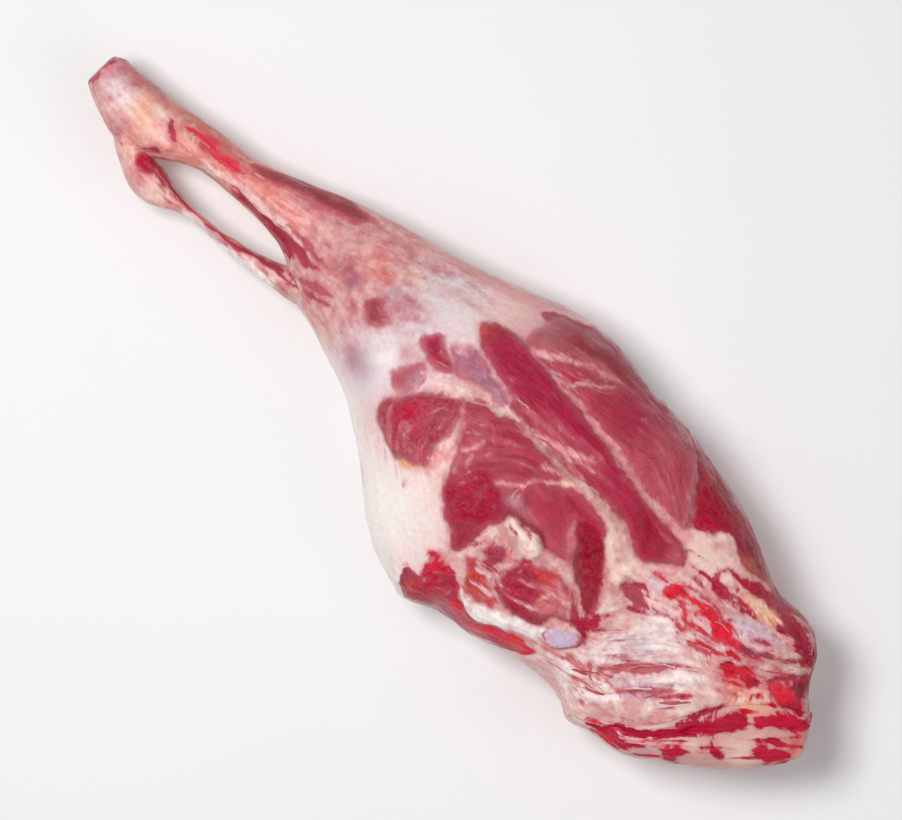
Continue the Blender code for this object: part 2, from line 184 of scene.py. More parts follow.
PATCHES = {
    "shank_front": ("lean", "maroon", 5.0, 1.0, 5, [(-146, 20), (-140, 16.5), (-130, 20.5),
        (-118, 24.5), (-108, 26.5), (-98, 31), (-86, 37.5), (-73, 44.5), (-80, 47), (-100, 42),
        (-120, 34), (-134, 27)]),
    "knee_knot": ("lean", "maroon", 6.0, 1.0, 4, [(-63.5, 10.5), (-58, 15.5), (-54, 12), (-49, 11),
        (-51, 6), (-55.5, 3.3), (-60, 7)]),
    "knee_slip": ("lean", "crimson", 7.0, 1.4, 4, [(-33, 15), (-31, 20), (-27, 22.3), (-20, 19),
        (-12, 15.5), (-16, 11), (-22, 9.8), (-28, 12)]),
    "lilac_slip": ("lean", "dusky_rose", 7.0, 0.6, 4, [(-26, 6), (-22, 5.5), (-19.5, 1), (-20, -5),
        (-26, -9.5), (-31.5, -6.5), (-30, -1)]),
    "lilac_wedge": ("lean", "mauve", 2.4, -0.5, 3, [(-19, 24), (-16, 28.5), (-9, 29.8), (0, 27),
        (8, 24.5), (16, 20.8), (13, 18), (3, 18.4), (-5, 16.3), (-12, 15.8), (-17, 19.5)]),
    "topside_head": ("cut", "dusky_red", 5.0, 3.0, 7, [(-25.4, -16), (-20, -8.6), (-13, -0.4),
        (-7, 4.6), (0, 6.8), (5, 2), (6.6, -8), (6, -16), (9.6, -24), (5, -28.5), (-1, -32),
        (-9, -31.5), (-18, -28.4), (-25, -22.4)]),
    "topside": ("lean", "topside_red", 2.0, 2.8, 8, [(-1, 7.4), (5, 11.6), (11, 13.6), (17, 14.4),
        (22, 17), (30, 16.6), (40, 16.6), (50, 16), (58, 14), (56, 8), (52, 4), (53, -4), (54, -12),
        (51, -24), (50, -33), (47, -42), (42, -43.5), (37, -38.5), (31, -35), (25, -29.5),
        (20.5, -23), (18.4, -16), (15, -8), (11, -3), (5, 3.4)]),
    "crimson_eye": ("cut", "ruby", 3.4, 1.2, 6, [(19, -20), (22.5, -13.5), (29, -8.5), (37, -8.5),
        (44, -12.5), (47.6, -18), (44.5, -25), (38, -29), (30, -28), (23, -25.4)]),
    "silverside": ("lean", "dusky_red", 2.0, 2.6, 7, [(48, -8), (47.5, -1), (50, 5), (54, 10),
        (61, 13.3), (70, 15), (80, 15.2), (88, 13), (94, 7), (91, 0), (89, -9), (80, -12),
        (70, -12.4), (61, -13), (53, -12)]),
    "crescent": ("cut", "wine", 1.2, -1.4, 4, [(75, 5), (84, 8), (91, 7), (98, 2), (104, -3.4),
        (108.8, -12), (112, -23.5), (107.5, -22), (102, -18.5), (95, -15.5), (89.5, -11),
        (87.5, -5), (82, 0.5)]),
    "strap_muscle": ("lean", "crimson", 2.0, 3.2, 6.5, [(-18, 39), (-15, 43.5), (-9, 46.5),
        (0, 47.8), (9, 47), (22, 45.6), (38, 43), (52, 41), (66, 39.8), (76, 37.4), (90, 34.8),
        (104, 33), (118, 31.6), (126, 25.6), (121, 21.5), (114, 15.5), (107, 13.5), (99, 17),
        (90, 20), (78, 20.4), (64, 20), (48, 19.6), (32, 20.4), (17, 21.3), (8, 26), (-4, 29.8),
        (-13, 33.3)]),
    "thigh_head": ("lean", "maroon", 6.0, 2.4, 8, [(2, 51), (2, 57), (4, 65), (7, 72), (18, 79),
        (34, 80), (46, 77), (54, 70), (46, 66), (37, 63.2), (28, 60.2), (20, 55.4), (14, 50),
        (7, 47)]),
    "thigh_slip": ("lean", "dusky_red", 2.0, 0.6, 3, [(12, 47), (20, 53), (30, 59.6), (42, 63),
        (50, 66), (44, 58), (36, 52), (30, 45)]),
    "thigh_front": ("lean", "dusky_red", 2.4, 3.0, 9, [(30, 45), (37, 54), (44, 61), (52, 69),
        (64, 72), (76, 73), (90, 72), (98, 63), (104, 55), (109, 48), (114, 39), (104, 36),
        (92, 37.5), (78, 39.6), (66, 41.4), (48, 43)]),
    "rump_front": ("cut", "deep_crimson", 1.6, -0.4, 6, [(88, 74), (94, 66), (102, 58.6), (107, 51),
        (112, 43.6), (118, 41), (123, 43.5), (130, 50.2), (137, 50.8), (142, 46.5), (149, 44.6),
        (158, 47), (168, 47), (186, 48), (194, 43), (203, 33), (210, 22), (218, 24), (206, 52),
        (186, 58), (150, 68), (110, 78)]),
    "rump_roof": ("cut", "ruby", 1.6, -0.6, 3, [(176, 41), (184, 43.5), (192, 42), (199, 35),
        (194, 33), (186, 35.5), (179, 37.6)]),
    "rump_mass": ("cut", "deep_crimson", 1.6, -0.8, 3, [(193, 31), (199, 35), (205, 29), (210, 21),
        (214, 15), (209, 11), (202, 9.6), (195, 10.4), (190, 13.4), (193, 18), (198, 21),
        (199, 26)]),
    "rump_strip": ("cut", "deep_crimson", 1.0, -0.5, 2.5, [(142, 38.8), (147, 40.5), (152, 42),
        (157, 44.8), (162, 45.2), (172, 45.6), (184, 44), (180, 41), (170, 40.8), (162, 38.8),
        (154, 37.6), (146, 38.3)]),
    "rump_lilac": ("fat", "lilac", 4.0, 0.5, 2, [(160, 23), (166, 27.5), (174, 30), (183, 31),
        (184, 27), (176, 23.5), (168, 21.5)]),
    "rump_slip": ("cut", "bright_crimson", 1.0, -0.5, 2, [(139, 29), (143, 27), (149, 26.3),
        (153, 29), (160, 30.6), (166, 32.8), (156, 32.6), (149, 31.6), (142, 31.4), (140.5, 35),
        (138.8, 33)]),
    "fillet_end": ("cut", "scarlet", 1.0, 0.6, 3, [(134, 17), (142, 18.3), (150, 19.8), (160, 20.6),
        (166, 17.6), (172, 17.4), (180, 17), (172, 14.2), (165, 12.5), (159, 9.8), (155, 12.5),
        (150, 15), (142, 15.6), (135, 15)]),
    "fillet_knob": ("cut", "scarlet", 1.0, 1.2, 3, [(126.5, 12), (129, 16.8), (132, 19),
        (134.5, 15), (134, 10), (131.5, 7.3), (128, 8.4)]),
    "rump_pool": ("cut", "deep_crimson", 1.0, -1.0, 2, [(169.5, 3), (171, 7), (175, 9.4),
        (181, 11.8), (188, 11.6), (190, 8.5), (186, 5), (180, 6), (177, 2.6), (172, 1.8)]),
    "rump_tip": ("cut", "scarlet", 1.0, 0.4, 2, [(193.5, 13), (197, 17), (202, 18.5), (207, 16.5),
        (204, 12.5), (199, 10.6)]),
    "rump_corner": ("cut", "dark_maroon", 1.8, -0.4, 3, [(190, 26.5), (194.5, 31), (195, 36),
        (201, 36), (209, 24), (211, 18.5), (206, 19), (199, 20.5), (193, 19.5)]),
    "chump_eye": ("cut", "crimson", 2.6, 2.2, 7, [(71.5, -23.5), (76, -20.5), (84, -19.3),
        (92, -18.6), (101, -20.3), (107, -24), (113, -28), (108, -30.5), (101, -32), (98, -35),
        (99, -40), (96, -44), (88, -45.6), (79, -46.4), (73, -44.5), (70, -39), (70, -32)]),
    "chump_bead": ("cut", "dusky_red", 2.6, 0.8, 3, [(55.5, -31), (58, -27.6), (61.5, -26),
        (64.5, -28.5), (64, -33), (60.5, -38.5), (57.5, -35)]),
    "chump_lower": ("cut", "orange_red", 5.0, 0.8, 4, [(52.5, -41.5), (55, -39.5), (60, -40.4),
        (66, -43.6), (73, -46.6), (77, -50.5), (72, -53), (63, -53.4), (57.5, -49)]),
    "flank_cut": ("cut", "bright_crimson", 1.4, 0.8, 5, [(38.5, -51), (44, -49.8), (51, -51.4),
        (57, -53.6), (61, -58), (63, -64), (60, -69), (53, -71), (46, -68), (41.5, -62),
        (41, -55)]),
    "flank_tip": ("cut", "orange_red", 1.0, 1.2, 3, [(40, -72), (43, -69), (48, -69.4), (51.5, -72),
        (48, -76), (42, -77)]),
    "flank_bead": ("cut", "scarlet", 0.8, 0.5, 2, [(62.5, -63), (65, -60), (68, -63),
        (65.5, -65.5)]),
    "flank_strip": ("cut", "scarlet", 1.0, 0.4, 3, [(69, -65.4), (76, -62), (83, -58), (91, -54.6),
        (97, -51.3), (99.5, -53), (105, -54), (106.5, -57.5), (98, -61), (86, -65), (76, -68)]),
    "heel_cut": ("cut", "bright_crimson", 5.0, -1.2, 3, [(-187, -14), (-183, -10.5), (-178.5, -8),
        (-176, -12), (-177, -18), (-182, -20), (-186, -18)]),
    "pelvis_stain": ("cut", "bright_crimson", 1.2, -0.8, 2, [(103, -24), (108, -25), (112, -23),
        (113, -19), (116, -18), (117.5, -22), (116, -27), (118.5, -31), (117.5, -35), (115, -32),
        (110, -29.5), (104, -27.5)]),
    "hip_slip": ("fat", "bluish_white", 5.0, -0.5, 2, [(126.5, -25), (130.5, -17), (137, -10.6),
        (144.4, -12.6), (143, -17.6), (136, -22)]),
    "hip_slip_low": ("fat", "lilac", 5.0, -0.5, 2, [(142.6, -37.4), (147, -29.6), (152.4, -24.6),
        (158, -25.4), (157, -30), (150, -36)]),
    "block_end": ("cut", "bright_crimson", 1.0, 0.7, 2.5, [(198.6, -2.6), (202, 3), (209, 9.4),
        (217, 14.4), (220, 11.6), (215.6, 5.8), (208, 1), (203, -4.6)]),
    "block_corner": ("cut", "bright_crimson", 1.0, 0.7, 2.5, [(207.4, -11.4), (211, -7), (217, -3),
        (222.6, -5), (222.6, -9), (217, -14), (210, -15)]),
    "block_long": ("cut", "deep_crimson", 1.0, 0.7, 2.5, [(175.6, -29.4), (179, -22.6),
        (185.4, -15), (190, -6.8), (195, -4.6), (198.6, -8), (195, -14), (188, -23.4), (181, -31)]),
    "block_small": ("cut", "deep_crimson", 1.4, 0.5, 2, [(190.6, -22), (194, -24.4), (201, -25),
        (200, -28.6), (195, -28.4)]),
    "block_low": ("cut", "bright_crimson", 1.0, 0.6, 2, [(177, -42.6), (181, -38), (188.6, -34.6),
        (187, -39.4), (183, -44.4)]),
    "fat_bridge": ("fat", "cream", 1.5, 1.6, 3, [(50, 5.5), (55, 11), (60, 15.5), (65, 19),
        (76, 20), (86, 19.5), (93, 16.5), (99, 13), (110, 10), (111, -2), (103, -1.5), (98, 2.5),
        (93, 7), (88, 12.6), (78, 14.6), (67, 14.8), (60, 12), (55, 8)]),
    "fat_nub": ("fat", "cream_fat", 1.2, 3.6, 3.5, [(53.5, -13.6), (57, -12.8), (60.5, -14.6),
        (65, -12.8), (70, -13.4), (75, -15.4), (76, -19), (72, -23.5), (67.5, -24.6), (63.5, -21),
        (59, -20.4), (55, -18)]),
    "silver_skin": ("fat", "dull_pink", 2.4, 0.5, 2.5, [(74, -14), (80, -12), (88, -12),
        (94, -16.4), (100, -19), (92, -19.5), (83, -20), (76, -22.5)]),
    "fat_ring": ("fat", "pale_pink", 1.2, 1.0, 3, [(51, -22), (54, -24), (54, -31), (57, -38),
        (53, -41), (48, -44), (49, -36), (49, -28)]),
    "fat_rope": ("fat", "white_fat", 1.5, 1.8, 4, [(60, -55), (66, -54.4), (73, -54.2), (81, -49.8),
        (89, -46.6), (96, -45), (101, -41.5), (104, -44), (99, -48), (92, -52), (84, -56.5),
        (76, -60.5), (70, -63.6), (66, -59)]),
}

# Strands and stains: kind, tone, height, and points of (x, y, half width). Two are painted shadows in
# crevices, marked below.
STRANDS = {
    "hock_rim": ("lean", "maroon", 0.0, [(-226, 10, 1.3), (-225.6, 2, 1.1), (-225.4, -8, 1.2)]),
    "ankle_cut": ("lean", "bright_crimson", -1.4, [(-186, 8, 0.6), (-182, 4.6, 1.6),
        (-178, 1.2, 0.6)]),
    "shank_vein": ("lean", "scarlet", -0.4, [(-179, 10, 0.6), (-172, 12, 1.1), (-165, 12.6, 2.0),
        (-159, 11, 1.4), (-152, 12, 2.6), (-146, 12.5, 0.6)]),
    "gap_lip": ("fat", "pale_pink", 0.7, [(-161, 2.6, 0.5), (-150, 5.2, 1.3), (-138, 6.8, 1.4),
        (-124, 7.4, 1.4), (-112, 8.2, 1.3), (-105, 7.6, 0.4)]),
    "tendon_rim": ("fat", "white_fat", 0.4, [(-152, -18.4, 1.2), (-140, -18.2, 1.9),
        (-124, -17.6, 1.9), (-111, -16.2, 1.7), (-101, -14, 0.8)]),
    "calf_threads": ("fat", "pale_pink", 0.4, [(-103, -1.6, 0.4), (-99, -4.6, 0.9), (-96, -7, 0.8),
        (-90, -9, 0.4)]),
    "gap_line": ("lean", "crimson", -0.8, [(-150, 3.4, 0.3), (-138, 4.2, 0.6), (-125, 4.6, 0.9),
        (-112, 4.3, 1.5), (-100, 3.8, 2.1), (-92, 4.2, 1.2), (-88, 5, 0.4)]),
    "calf_streak": ("lean", "dusky_rose", -0.4, [(-99, -5, 0.5), (-92, -4.4, 1.3), (-86, -2.4, 2.0),
        (-80, -1, 1.4), (-76, 0.6, 0.4)]),
    "calf_streak_low": ("lean", "maroon", -0.4, [(-95, -8.4, 0.4), (-87, -7, 1.2), (-80, -5.6, 0.9),
        (-74, -5, 0.3)]),
    "gap_second": ("lean", "dusky_rose", -0.4, [(-114, 9, 0.4), (-105, 9.8, 1.0), (-97, 9.4, 1.3),
        (-89, 9, 0.5)]),
    "heel_rim": ("lean", "dark_maroon", -0.4, [(-188, -13, 0.4), (-184, -9.6, 0.9),
        (-180, -7.8, 1.0), (-176.5, -10, 0.5)]),
    "tendon_inside": ("lean", "crimson", -0.2, [(-178, -11.5, 0.8), (-170, -14.6, 1.0),
        (-160, -16, 1.1), (-146, -15.6, 0.9), (-132, -14.4, 0.9), (-121, -12.2, 1.6),
        (-112, -10, 1.6), (-102, -7.8, 1.3), (-96, -8, 0.6)]),
    "wedge_seam": ("fat", "lilac", 0.5, [(-9, 30.8, 0.5), (0, 28.2, 0.8), (8, 26, 1.0),
        (15, 23, 1.5)]),
    "strap_streak": ("fat", "seam_pink", 0.3, [(33, 20.5, 1.0), (42, 21.6, 1.9), (50, 24.4, 1.9),
        (57, 26.8, 1.6), (64, 30, 0.4)]),
    "strap_streak_low": ("fat", "beige", 0.3, [(44, 19.5, 1.0), (52, 21.6, 1.1), (59, 25, 0.9),
        (66, 27.4, 0.3)]),
    "head_seam": ("fat", "beige", 0.5, [(2, 7, 0.9), (6, 3.4, 0.9), (9, -1.5, 1.0), (12, -6, 1.2),
        (13, -12, 1.3)]),
    "head_branch": ("fat", "pink", 0.4, [(20, 2, 0.4), (19, -4, 1.0), (15, -9, 1.3), (13, -14, 1.8),
        (10, -20, 2.2), (12, -26, 1.2)]),
    "head_twig": ("fat", "dusky_rose", 0.3, [(12, -6, 0.5), (18, -12, 1.0), (20, -18, 0.5)]),
    "head_lip": ("fat", "yellow_cream", 0.8, [(-0.5, -33, 0.7), (3.5, -30.6, 1.3),
        (6.5, -27.2, 1.0), (7.5, -25.6, 0.3)]),
    "tree_seam": ("fat", "seam_pink", 0.6, [(37.5, -7.4, 1.1), (41, -4.6, 0.9), (45.5, -1.8, 0.8),
        (48.5, 1, 0.8), (51, 6, 0.9)]),
    "front_seam": ("fat", "seam_pink", 0.8, [(8, 46.6, 1.6), (13, 49.6, 1.4), (19, 53.4, 1.2),
        (26, 58, 0.8), (34, 62, 0.8), (42, 63.8, 1.0), (47, 66, 1.3), (52, 68.8, 1.4),
        (60, 70.2, 1.2), (74, 71.4, 0.9)]),
    "second_seam": ("fat", "seam_pink", 0.5, [(26, 45.4, 1.2), (31, 48.4, 1.4), (35.5, 53, 1.1),
        (41, 58, 0.9), (46, 62, 0.5)]),
    "long_seam": ("fat", "seam_pink", 0.7, [(6, 47.4, 0.8), (18, 46.2, 0.8), (30, 44.6, 1.0),
        (42, 43, 1.5), (54, 42, 1.8), (66, 40.6, 1.8), (78, 38, 1.8), (90, 36, 1.8),
        (104, 34.6, 2.2), (116, 35, 3.2)]),
    "grey_seam": ("fat", "dusky_rose", 0.3, [(89, 69.6, 0.8), (95, 63, 1.4), (101, 57, 1.8),
        (105.5, 51, 2.0), (110, 45, 2.0), (114, 40, 1.8)]),
    "bridge_shade": ("fat", "beige", 0.1, [(48, 13, 0.6), (58, 16.5, 1.5), (70, 18, 2.0),
        (82, 17.6, 1.6), (92, 15.4, 0.6)]),
    "crescent_lip": ("fat", "pink", 0.6, [(98, 2.6, 0.5), (103, -2.4, 0.6), (107, -8.6, 0.7),
        (110, -15, 0.7), (111.8, -21.5, 0.4)]),
    "crescent_strand": ("fat", "rose", 0.2, [(76, 4.6, 0.6), (79.5, -1.5, 1.3), (84.5, -6, 1.8),
        (88.5, -11.4, 1.4)]),
    "chump_vein": ("fat", "pink", 0.5, [(98.5, -27, 0.8), (93, -25.4, 1.0), (90, -29, 1.3),
        (88.5, -33, 0.5)]),
    "chump_fringe": ("fat", "pink", 0.4, [(88, -21.6, 0.4), (94, -23.4, 1.0), (101, -25, 1.3),
        (104, -29, 0.7)]),
    "flank_vein": ("fat", "pink", 0.5, [(56.5, -58.4, 0.4), (57.6, -62, 0.8), (60, -66, 0.6)]),
    # Painted shadows: dark lines in the crevices along the fat nub's upper edge and the crescent's
    # foot.
    "nub_shadow": ("lean", "shadow_dark_red", -0.9, [(53, -12.6, 0.4), (58, -11.4, 0.9), (64, -11, 0.9),
        (70, -11.4, 0.8), (74, -12.6, 0.4)]),
    "crescent_foot_shadow": ("lean", "shadow_dark_red", -0.6, [(84, -2, 0.4), (88, -8, 0.8), (92, -12.4, 0.7),
        (99, -16.5, 0.5)]),
    "front_pool": ("lean", "bright_crimson", -0.2, [(23.5, 50.4, 0.4), (30, 52.6, 1.6),
        (35, 54.6, 0.4)]),
    "knob_arc": ("lean", "scarlet", -0.2, [(133, 11.4, 0.7), (137.5, 12.6, 1.1), (141, 10, 1.1),
        (143.5, 7.2, 0.9), (147, 6.4, 1.1), (151, 8, 1.1), (156, 9.2, 0.9), (161, 11, 1.2),
        (164, 13.6, 0.7)]),
    "fillet_thread": ("lean", "bright_crimson", -0.3, [(141, 20.8, 0.5), (148, 21.6, 0.8),
        (155, 21.4, 0.6), (160, 22.6, 0.3)]),
    "rump_link": ("lean", "maroon", -0.3, [(143.5, 39, 0.8), (140.5, 36.4, 0.8), (138.6, 32, 0.7)]),
    "curl": ("lean", "bright_crimson", -1.2, [(112.4, -1.2, 0.8), (114, 1.2, 1.0), (117.6, 3, 1.1),
        (121, 4, 0.9), (124, 3.4, 0.5)]),
    "curl_hollow": ("lean", "dusky_red", -1.4, [(115, -1.6, 0.9), (118.4, -1.4, 2.2),
        (122.6, -1.4, 2.6), (127, -0.8, 1.2)]),
    "v_mark": ("lean", "scarlet", -0.5, [(140.6, 4.4, 0.5), (143.4, 2.6, 1.0), (145.8, 2.2, 1.0),
        (148, 4.4, 0.8), (151.5, 5.2, 0.4)]),
    "v_tail": ("lean", "rose", -0.3, [(129, 1, 0.5), (135, 2, 0.9), (140, 4, 0.6)]),
    "rump_cream": ("fat", "yellow_cream", 0.5, [(156, 35.6, 1.2), (163, 36.2, 2.8),
        (170, 37.2, 3.0), (177, 38, 1.4)]),
    "rump_stripe": ("lean", "dark_maroon", -0.5, [(171, 17.2, 0.9), (177, 18, 1.3),
        (182.6, 21.8, 1.2), (188.6, 24.6, 1.2), (193, 27.6, 1.6)]),
    "stripe_tail": ("lean", "dark_maroon", -0.4, [(178, 38.6, 0.9), (184, 38, 1.3),
        (190, 38.4, 0.6)]),
    "pelvis_cord": ("fat", "bright_white", 1.0, [(155, -23, 0.7), (160, -17, 1.8), (165, -11, 1.9),
        (169, -7, 0.8)]),
    "grey_strip": ("fat", "beige", 0.4, [(182, 18.4, 1.0), (190, 23, 2.0), (197, 27, 2.2),
        (203, 31, 1.0)]),
    "hip_fold": ("lean", "dusky_rose", -0.8, [(113.6, -38.6, 0.4), (116, -35.6, 0.9),
        (118.6, -32.6, 0.5)]),
    "pelvis_cut": ("lean", "rose", -0.7, [(131, -36, 0.4), (136.5, -31, 1.0), (141, -27.4, 1.3),
        (146, -22.6, 2.0), (150.6, -18, 1.6), (154.4, -12.8, 1.6), (158, -9.4, 0.8),
        (165, -4, 0.4)]),
    "pelvis_thread": ("lean", "rose", -0.5, [(127, -38, 1.2), (130.6, -41.4, 0.7),
        (135.6, -43.8, 0.4)]),
    "pelvis_thread_two": ("lean", "coral", -0.4, [(117, -43, 0.4), (122, -41.4, 0.8),
        (127, -40, 0.4)]),
    "sacrum_cut": ("lean", "deep_crimson", -0.9, [(137.5, -62, 0.9), (143, -61, 1.3),
        (148, -58.6, 1.6), (152.6, -55, 2.0), (156, -51, 2.2), (161, -48.4, 2.3), (166, -44.4, 2.3),
        (170.6, -39.6, 2.3), (176, -34, 1.8), (181.5, -29, 1.2)]),
    "sacrum_red": ("lean", "bright_crimson", -0.4, [(152, -55.4, 1.2), (157, -54, 2.0),
        (162.6, -54, 1.8), (167, -50.8, 1.6), (171.5, -48, 0.6)]),
    "spine_cut": ("lean", "crimson", -0.8, [(175, -29.5, 0.8), (178.4, -22.4, 1.5),
        (181.6, -15.5, 1.2), (184, -8, 0.6)]),
}

# The fat's ground colour along the leg, on the inner face and round the outer side.
FAT_GROUND = [
    (-226, "pink"), (-196, "pink"), (-168, "salmon"), (-116, "salmon"), (-100, "dull_pink"),
    (-70, "dull_pink"), (-45, "bluish_white"), (0, "pale_pink"), (95, "dull_pink"),
    (118, "pale_pink"), (160, "pale_pink"), (190, "dull_pink"), (226, "beige"),
]
OUTER_GROUND = [
    (-226, "brown_pink"), (-190, "coral"), (-150, "pink"), (-90, "pale_pink"), (-30, "white_fat"),
    (70, "white_fat"), (125, "pink"), (180, "pale_pink"), (226, "pale_pink"),
]

# Soft stains: x, y, reach along and across its own direction, that direction in degrees, tone and
# strength. The first list is under the patches, in the fat, and the second is in the lean. A few in the
# first list are painted shade and painted highlights, marked where they stand.
FAT_STAINS = [
    # (-51, -13) dusky rose is painted shade beside the calf; (-47, 23) mauve is a vein.
    (-51, -13, 8, 3.4, -40, "dusky_rose", 0.7), (-47, 23, 3.4, 5, 20, "mauve", 0.8),
    # (-62, 37) rose is painted shade by the knee.
    (-62, 37, 8, 2.2, -50, "rose", 0.7), (-100, 25, 30, 4.5, 22, "rose", 0.55),
    (-84, -6, 8, 5, 0, "rose", 0.6), (-57, 11, 8, 8, 0, "mauve", 0.6),
    (-24, 16, 10, 8, 0, "mauve", 0.5), (-26, -1, 7, 9, 0, "mauve", 0.6),
    (-205, 11, 34, 3, 0, "brown_pink", 0.6), (-198, -6, 20, 4, -10, "beige", 0.5),
    (-3, 57, 9, 13, 0, "mauve", 0.9), (-14, 22, 10, 8, 0, "grey_lilac", 0.5),
    (124, 22, 9, 8, 0, "pink", 0.7), (46, -44, 6, 6, 0, "rose", 0.6),
    (-24, -18, 5, 12, 0, "pink", 0.7), (135, -40, 28, 18, 40, "white_fat", 0.8),
    (140, -20, 26, 16, 45, "white_fat", 0.7), (168, -28, 14, 8, 45, "cream_fat", 0.7),
    (114, -42, 10, 6, 20, "coral", 0.45), (127, -46, 12, 8, 0, "white_fat", 0.9),
    (146, -52, 16, 6, 25, "pink", 0.6), (196, 22, 15, 12, 40, "rose", 0.65),
    (184, 8, 14, 8, 20, "coral", 0.55), (150, 24, 20, 4, 0, "rose", 0.5),
    (166, 3, 14, 5, 0, "coral", 0.5), (185, 2, 8, 5, 20, "scarlet", 0.8),
    (176, 14, 10, 4, 10, "rose", 0.6), (158, 44, 16, 4, 0, "brown_pink", 0.6),
    (-214, -2, 10, 8, 0, "bluish_white", 0.7), (-218, 7, 8, 4, 0, "mauve", 0.6),
    # (-184, -1.5) pale pink is a painted highlight on the ankle's fat.
    (-197, 0, 9, 8, 0, "yellow_cream", 0.5), (-184, -1.5, 4, 2.5, 0, "pale_pink", 0.8),
    (-195, -13, 10, 5, 0, "salmon", 0.7), (-170, 16, 22, 2.6, 0, "brown_pink", 0.8),
    (-168, 4, 6, 4, 0, "pink", 0.7), (-176, -16, 13, 8, 0, "pink", 0.8),
    (-174, -26, 8, 5, 0, "pale_pink", 0.8), (-190, -20, 8, 4, 0, "cream", 0.8),
    (-158, 12, 16, 4, 0, "orange_red", 0.9), (-121, 20, 8, 2.5, 12, "dull_pink", 0.6),
    (-38, -10, 12, 17, 0, "bluish_white", 0.9), (-38, -3, 5, 6, 0, "white_fat", 0.7),
    (-48, 18, 8, 8, 0, "dusky_rose", 0.7), (-83, 15, 8, 6.5, 0, "crimson", 0.85),
    (-74, 14, 4.5, 6, 0, "plum", 0.75), (-70, 27, 8, 8, 0, "coral", 0.9),
    (-118, 12, 26, 4, 4, "coral", 0.6), (-92, 22, 14, 6, 20, "dull_pink", 0.7),
    (-46, -14, 8, 6, -30, "plum", 0.5), (-56, 22, 5, 7, -30, "plum", 0.4),
    (-40, 26, 8, 6, 0, "mauve", 0.7), (-52, 44, 9, 4, 30, "rose", 0.5),
    (-33, 6, 5, 4, 0, "rose", 0.5), (-66, 3, 10, 4, -10, "rose", 0.5),
    (-222, 1, 4, 12, 0, "rose", 0.6), (-205, 12, 18, 3, 0, "dusky_rose", 0.7),
    (-211, 6.5, 3.4, 2.6, 0, "dusky_rose", 0.9), (-202, -12, 6, 3, -20, "mauve", 0.7),
    # (-190, 7) cream fat is a painted highlight on the ankle.
    (-190, 7, 5, 3, 0, "cream_fat", 0.8), (-214, 0, 6, 5, 0, "bluish_white", 0.8),
    (-184, -17, 6, 5, 0, "coral", 0.8), (-166, -22, 7, 4, 20, "cream_fat", 0.6),
    (-178, -23, 5, 4, 0, "rose", 0.5), (-65, 25, 3.2, 3, 0, "brown_pink", 0.8),
    # (-55, 35) cream is a painted highlight by the knee.
    (-55, 35, 6, 5, 0, "cream", 0.7), (-30, 33, 14, 12, 0, "bluish_white", 0.8),
    (-40, 40, 8, 4, 20, "dull_pink", 0.5), (-27, 43.5, 7, 2, 5, "mauve", 0.6),
    (-10, 55, 16, 9, 25, "pale_pink", 0.8), (-34, 56, 34, 4, 21, "coral", 0.8),
    # (36, 18) rust is painted shade in the groove between the topside and the strap muscle.
    (20, 17.5, 40, 4.5, 7, "beige", 0.9), (36, 18, 14, 3, 0, "rust", 0.4),
    (-4, 12, 3, 2, 30, "white_fat", 0.6), (8, -52, 36, 22, -10, "white_fat", 1.0),
    (67, -38, 5, 13, 0, "brown_pink", 0.7), (103, -36, 10, 8, 38, "pink", 0.7),
    (139, -3, 8, 5, 0, "white_fat", 0.7), (121, -18, 4.5, 4.5, 0, "brown_pink", 0.7),
    (125, -13, 3, 3, 0, "coral", 0.7), (115, -6, 10, 4, 0, "beige", 0.8),
    (121, -28, 4, 2.5, 0, "orange_red", 0.6), (159, -40, 20, 4.5, 42, "beige", 0.8),
    (151, -39, 2.6, 2.2, 0, "coral", 0.9), (111, -46, 2.8, 2.2, 0, "coral", 0.9),
    (107, -47, 2.6, 2, 0, "orange_red", 0.8), (128, 34, 17, 8, 0, "cream", 0.8),
    (131, 42.5, 4, 1.5, 30, "brown_pink", 0.7), (151, 35.5, 9, 2.5, 0, "white_fat", 0.8),
    (162, 29, 14, 4.5, 10, "beige", 0.8), (121, 12, 5, 4, 0, "lilac", 0.7),
    (168, 9.5, 4, 2.2, 0, "white_fat", 0.8), (191, 2, 9, 6, 40, "yellow_cream", 0.7),
    (206, -18, 9, 8, 40, "cream", 0.9), (173, -51, 5, 3.5, 40, "grey_lilac", 0.6),
    (187, -31, 5, 4, 40, "cream", 0.8), (221, 0, 4, 13, 10, "orange_red", 0.7),
]
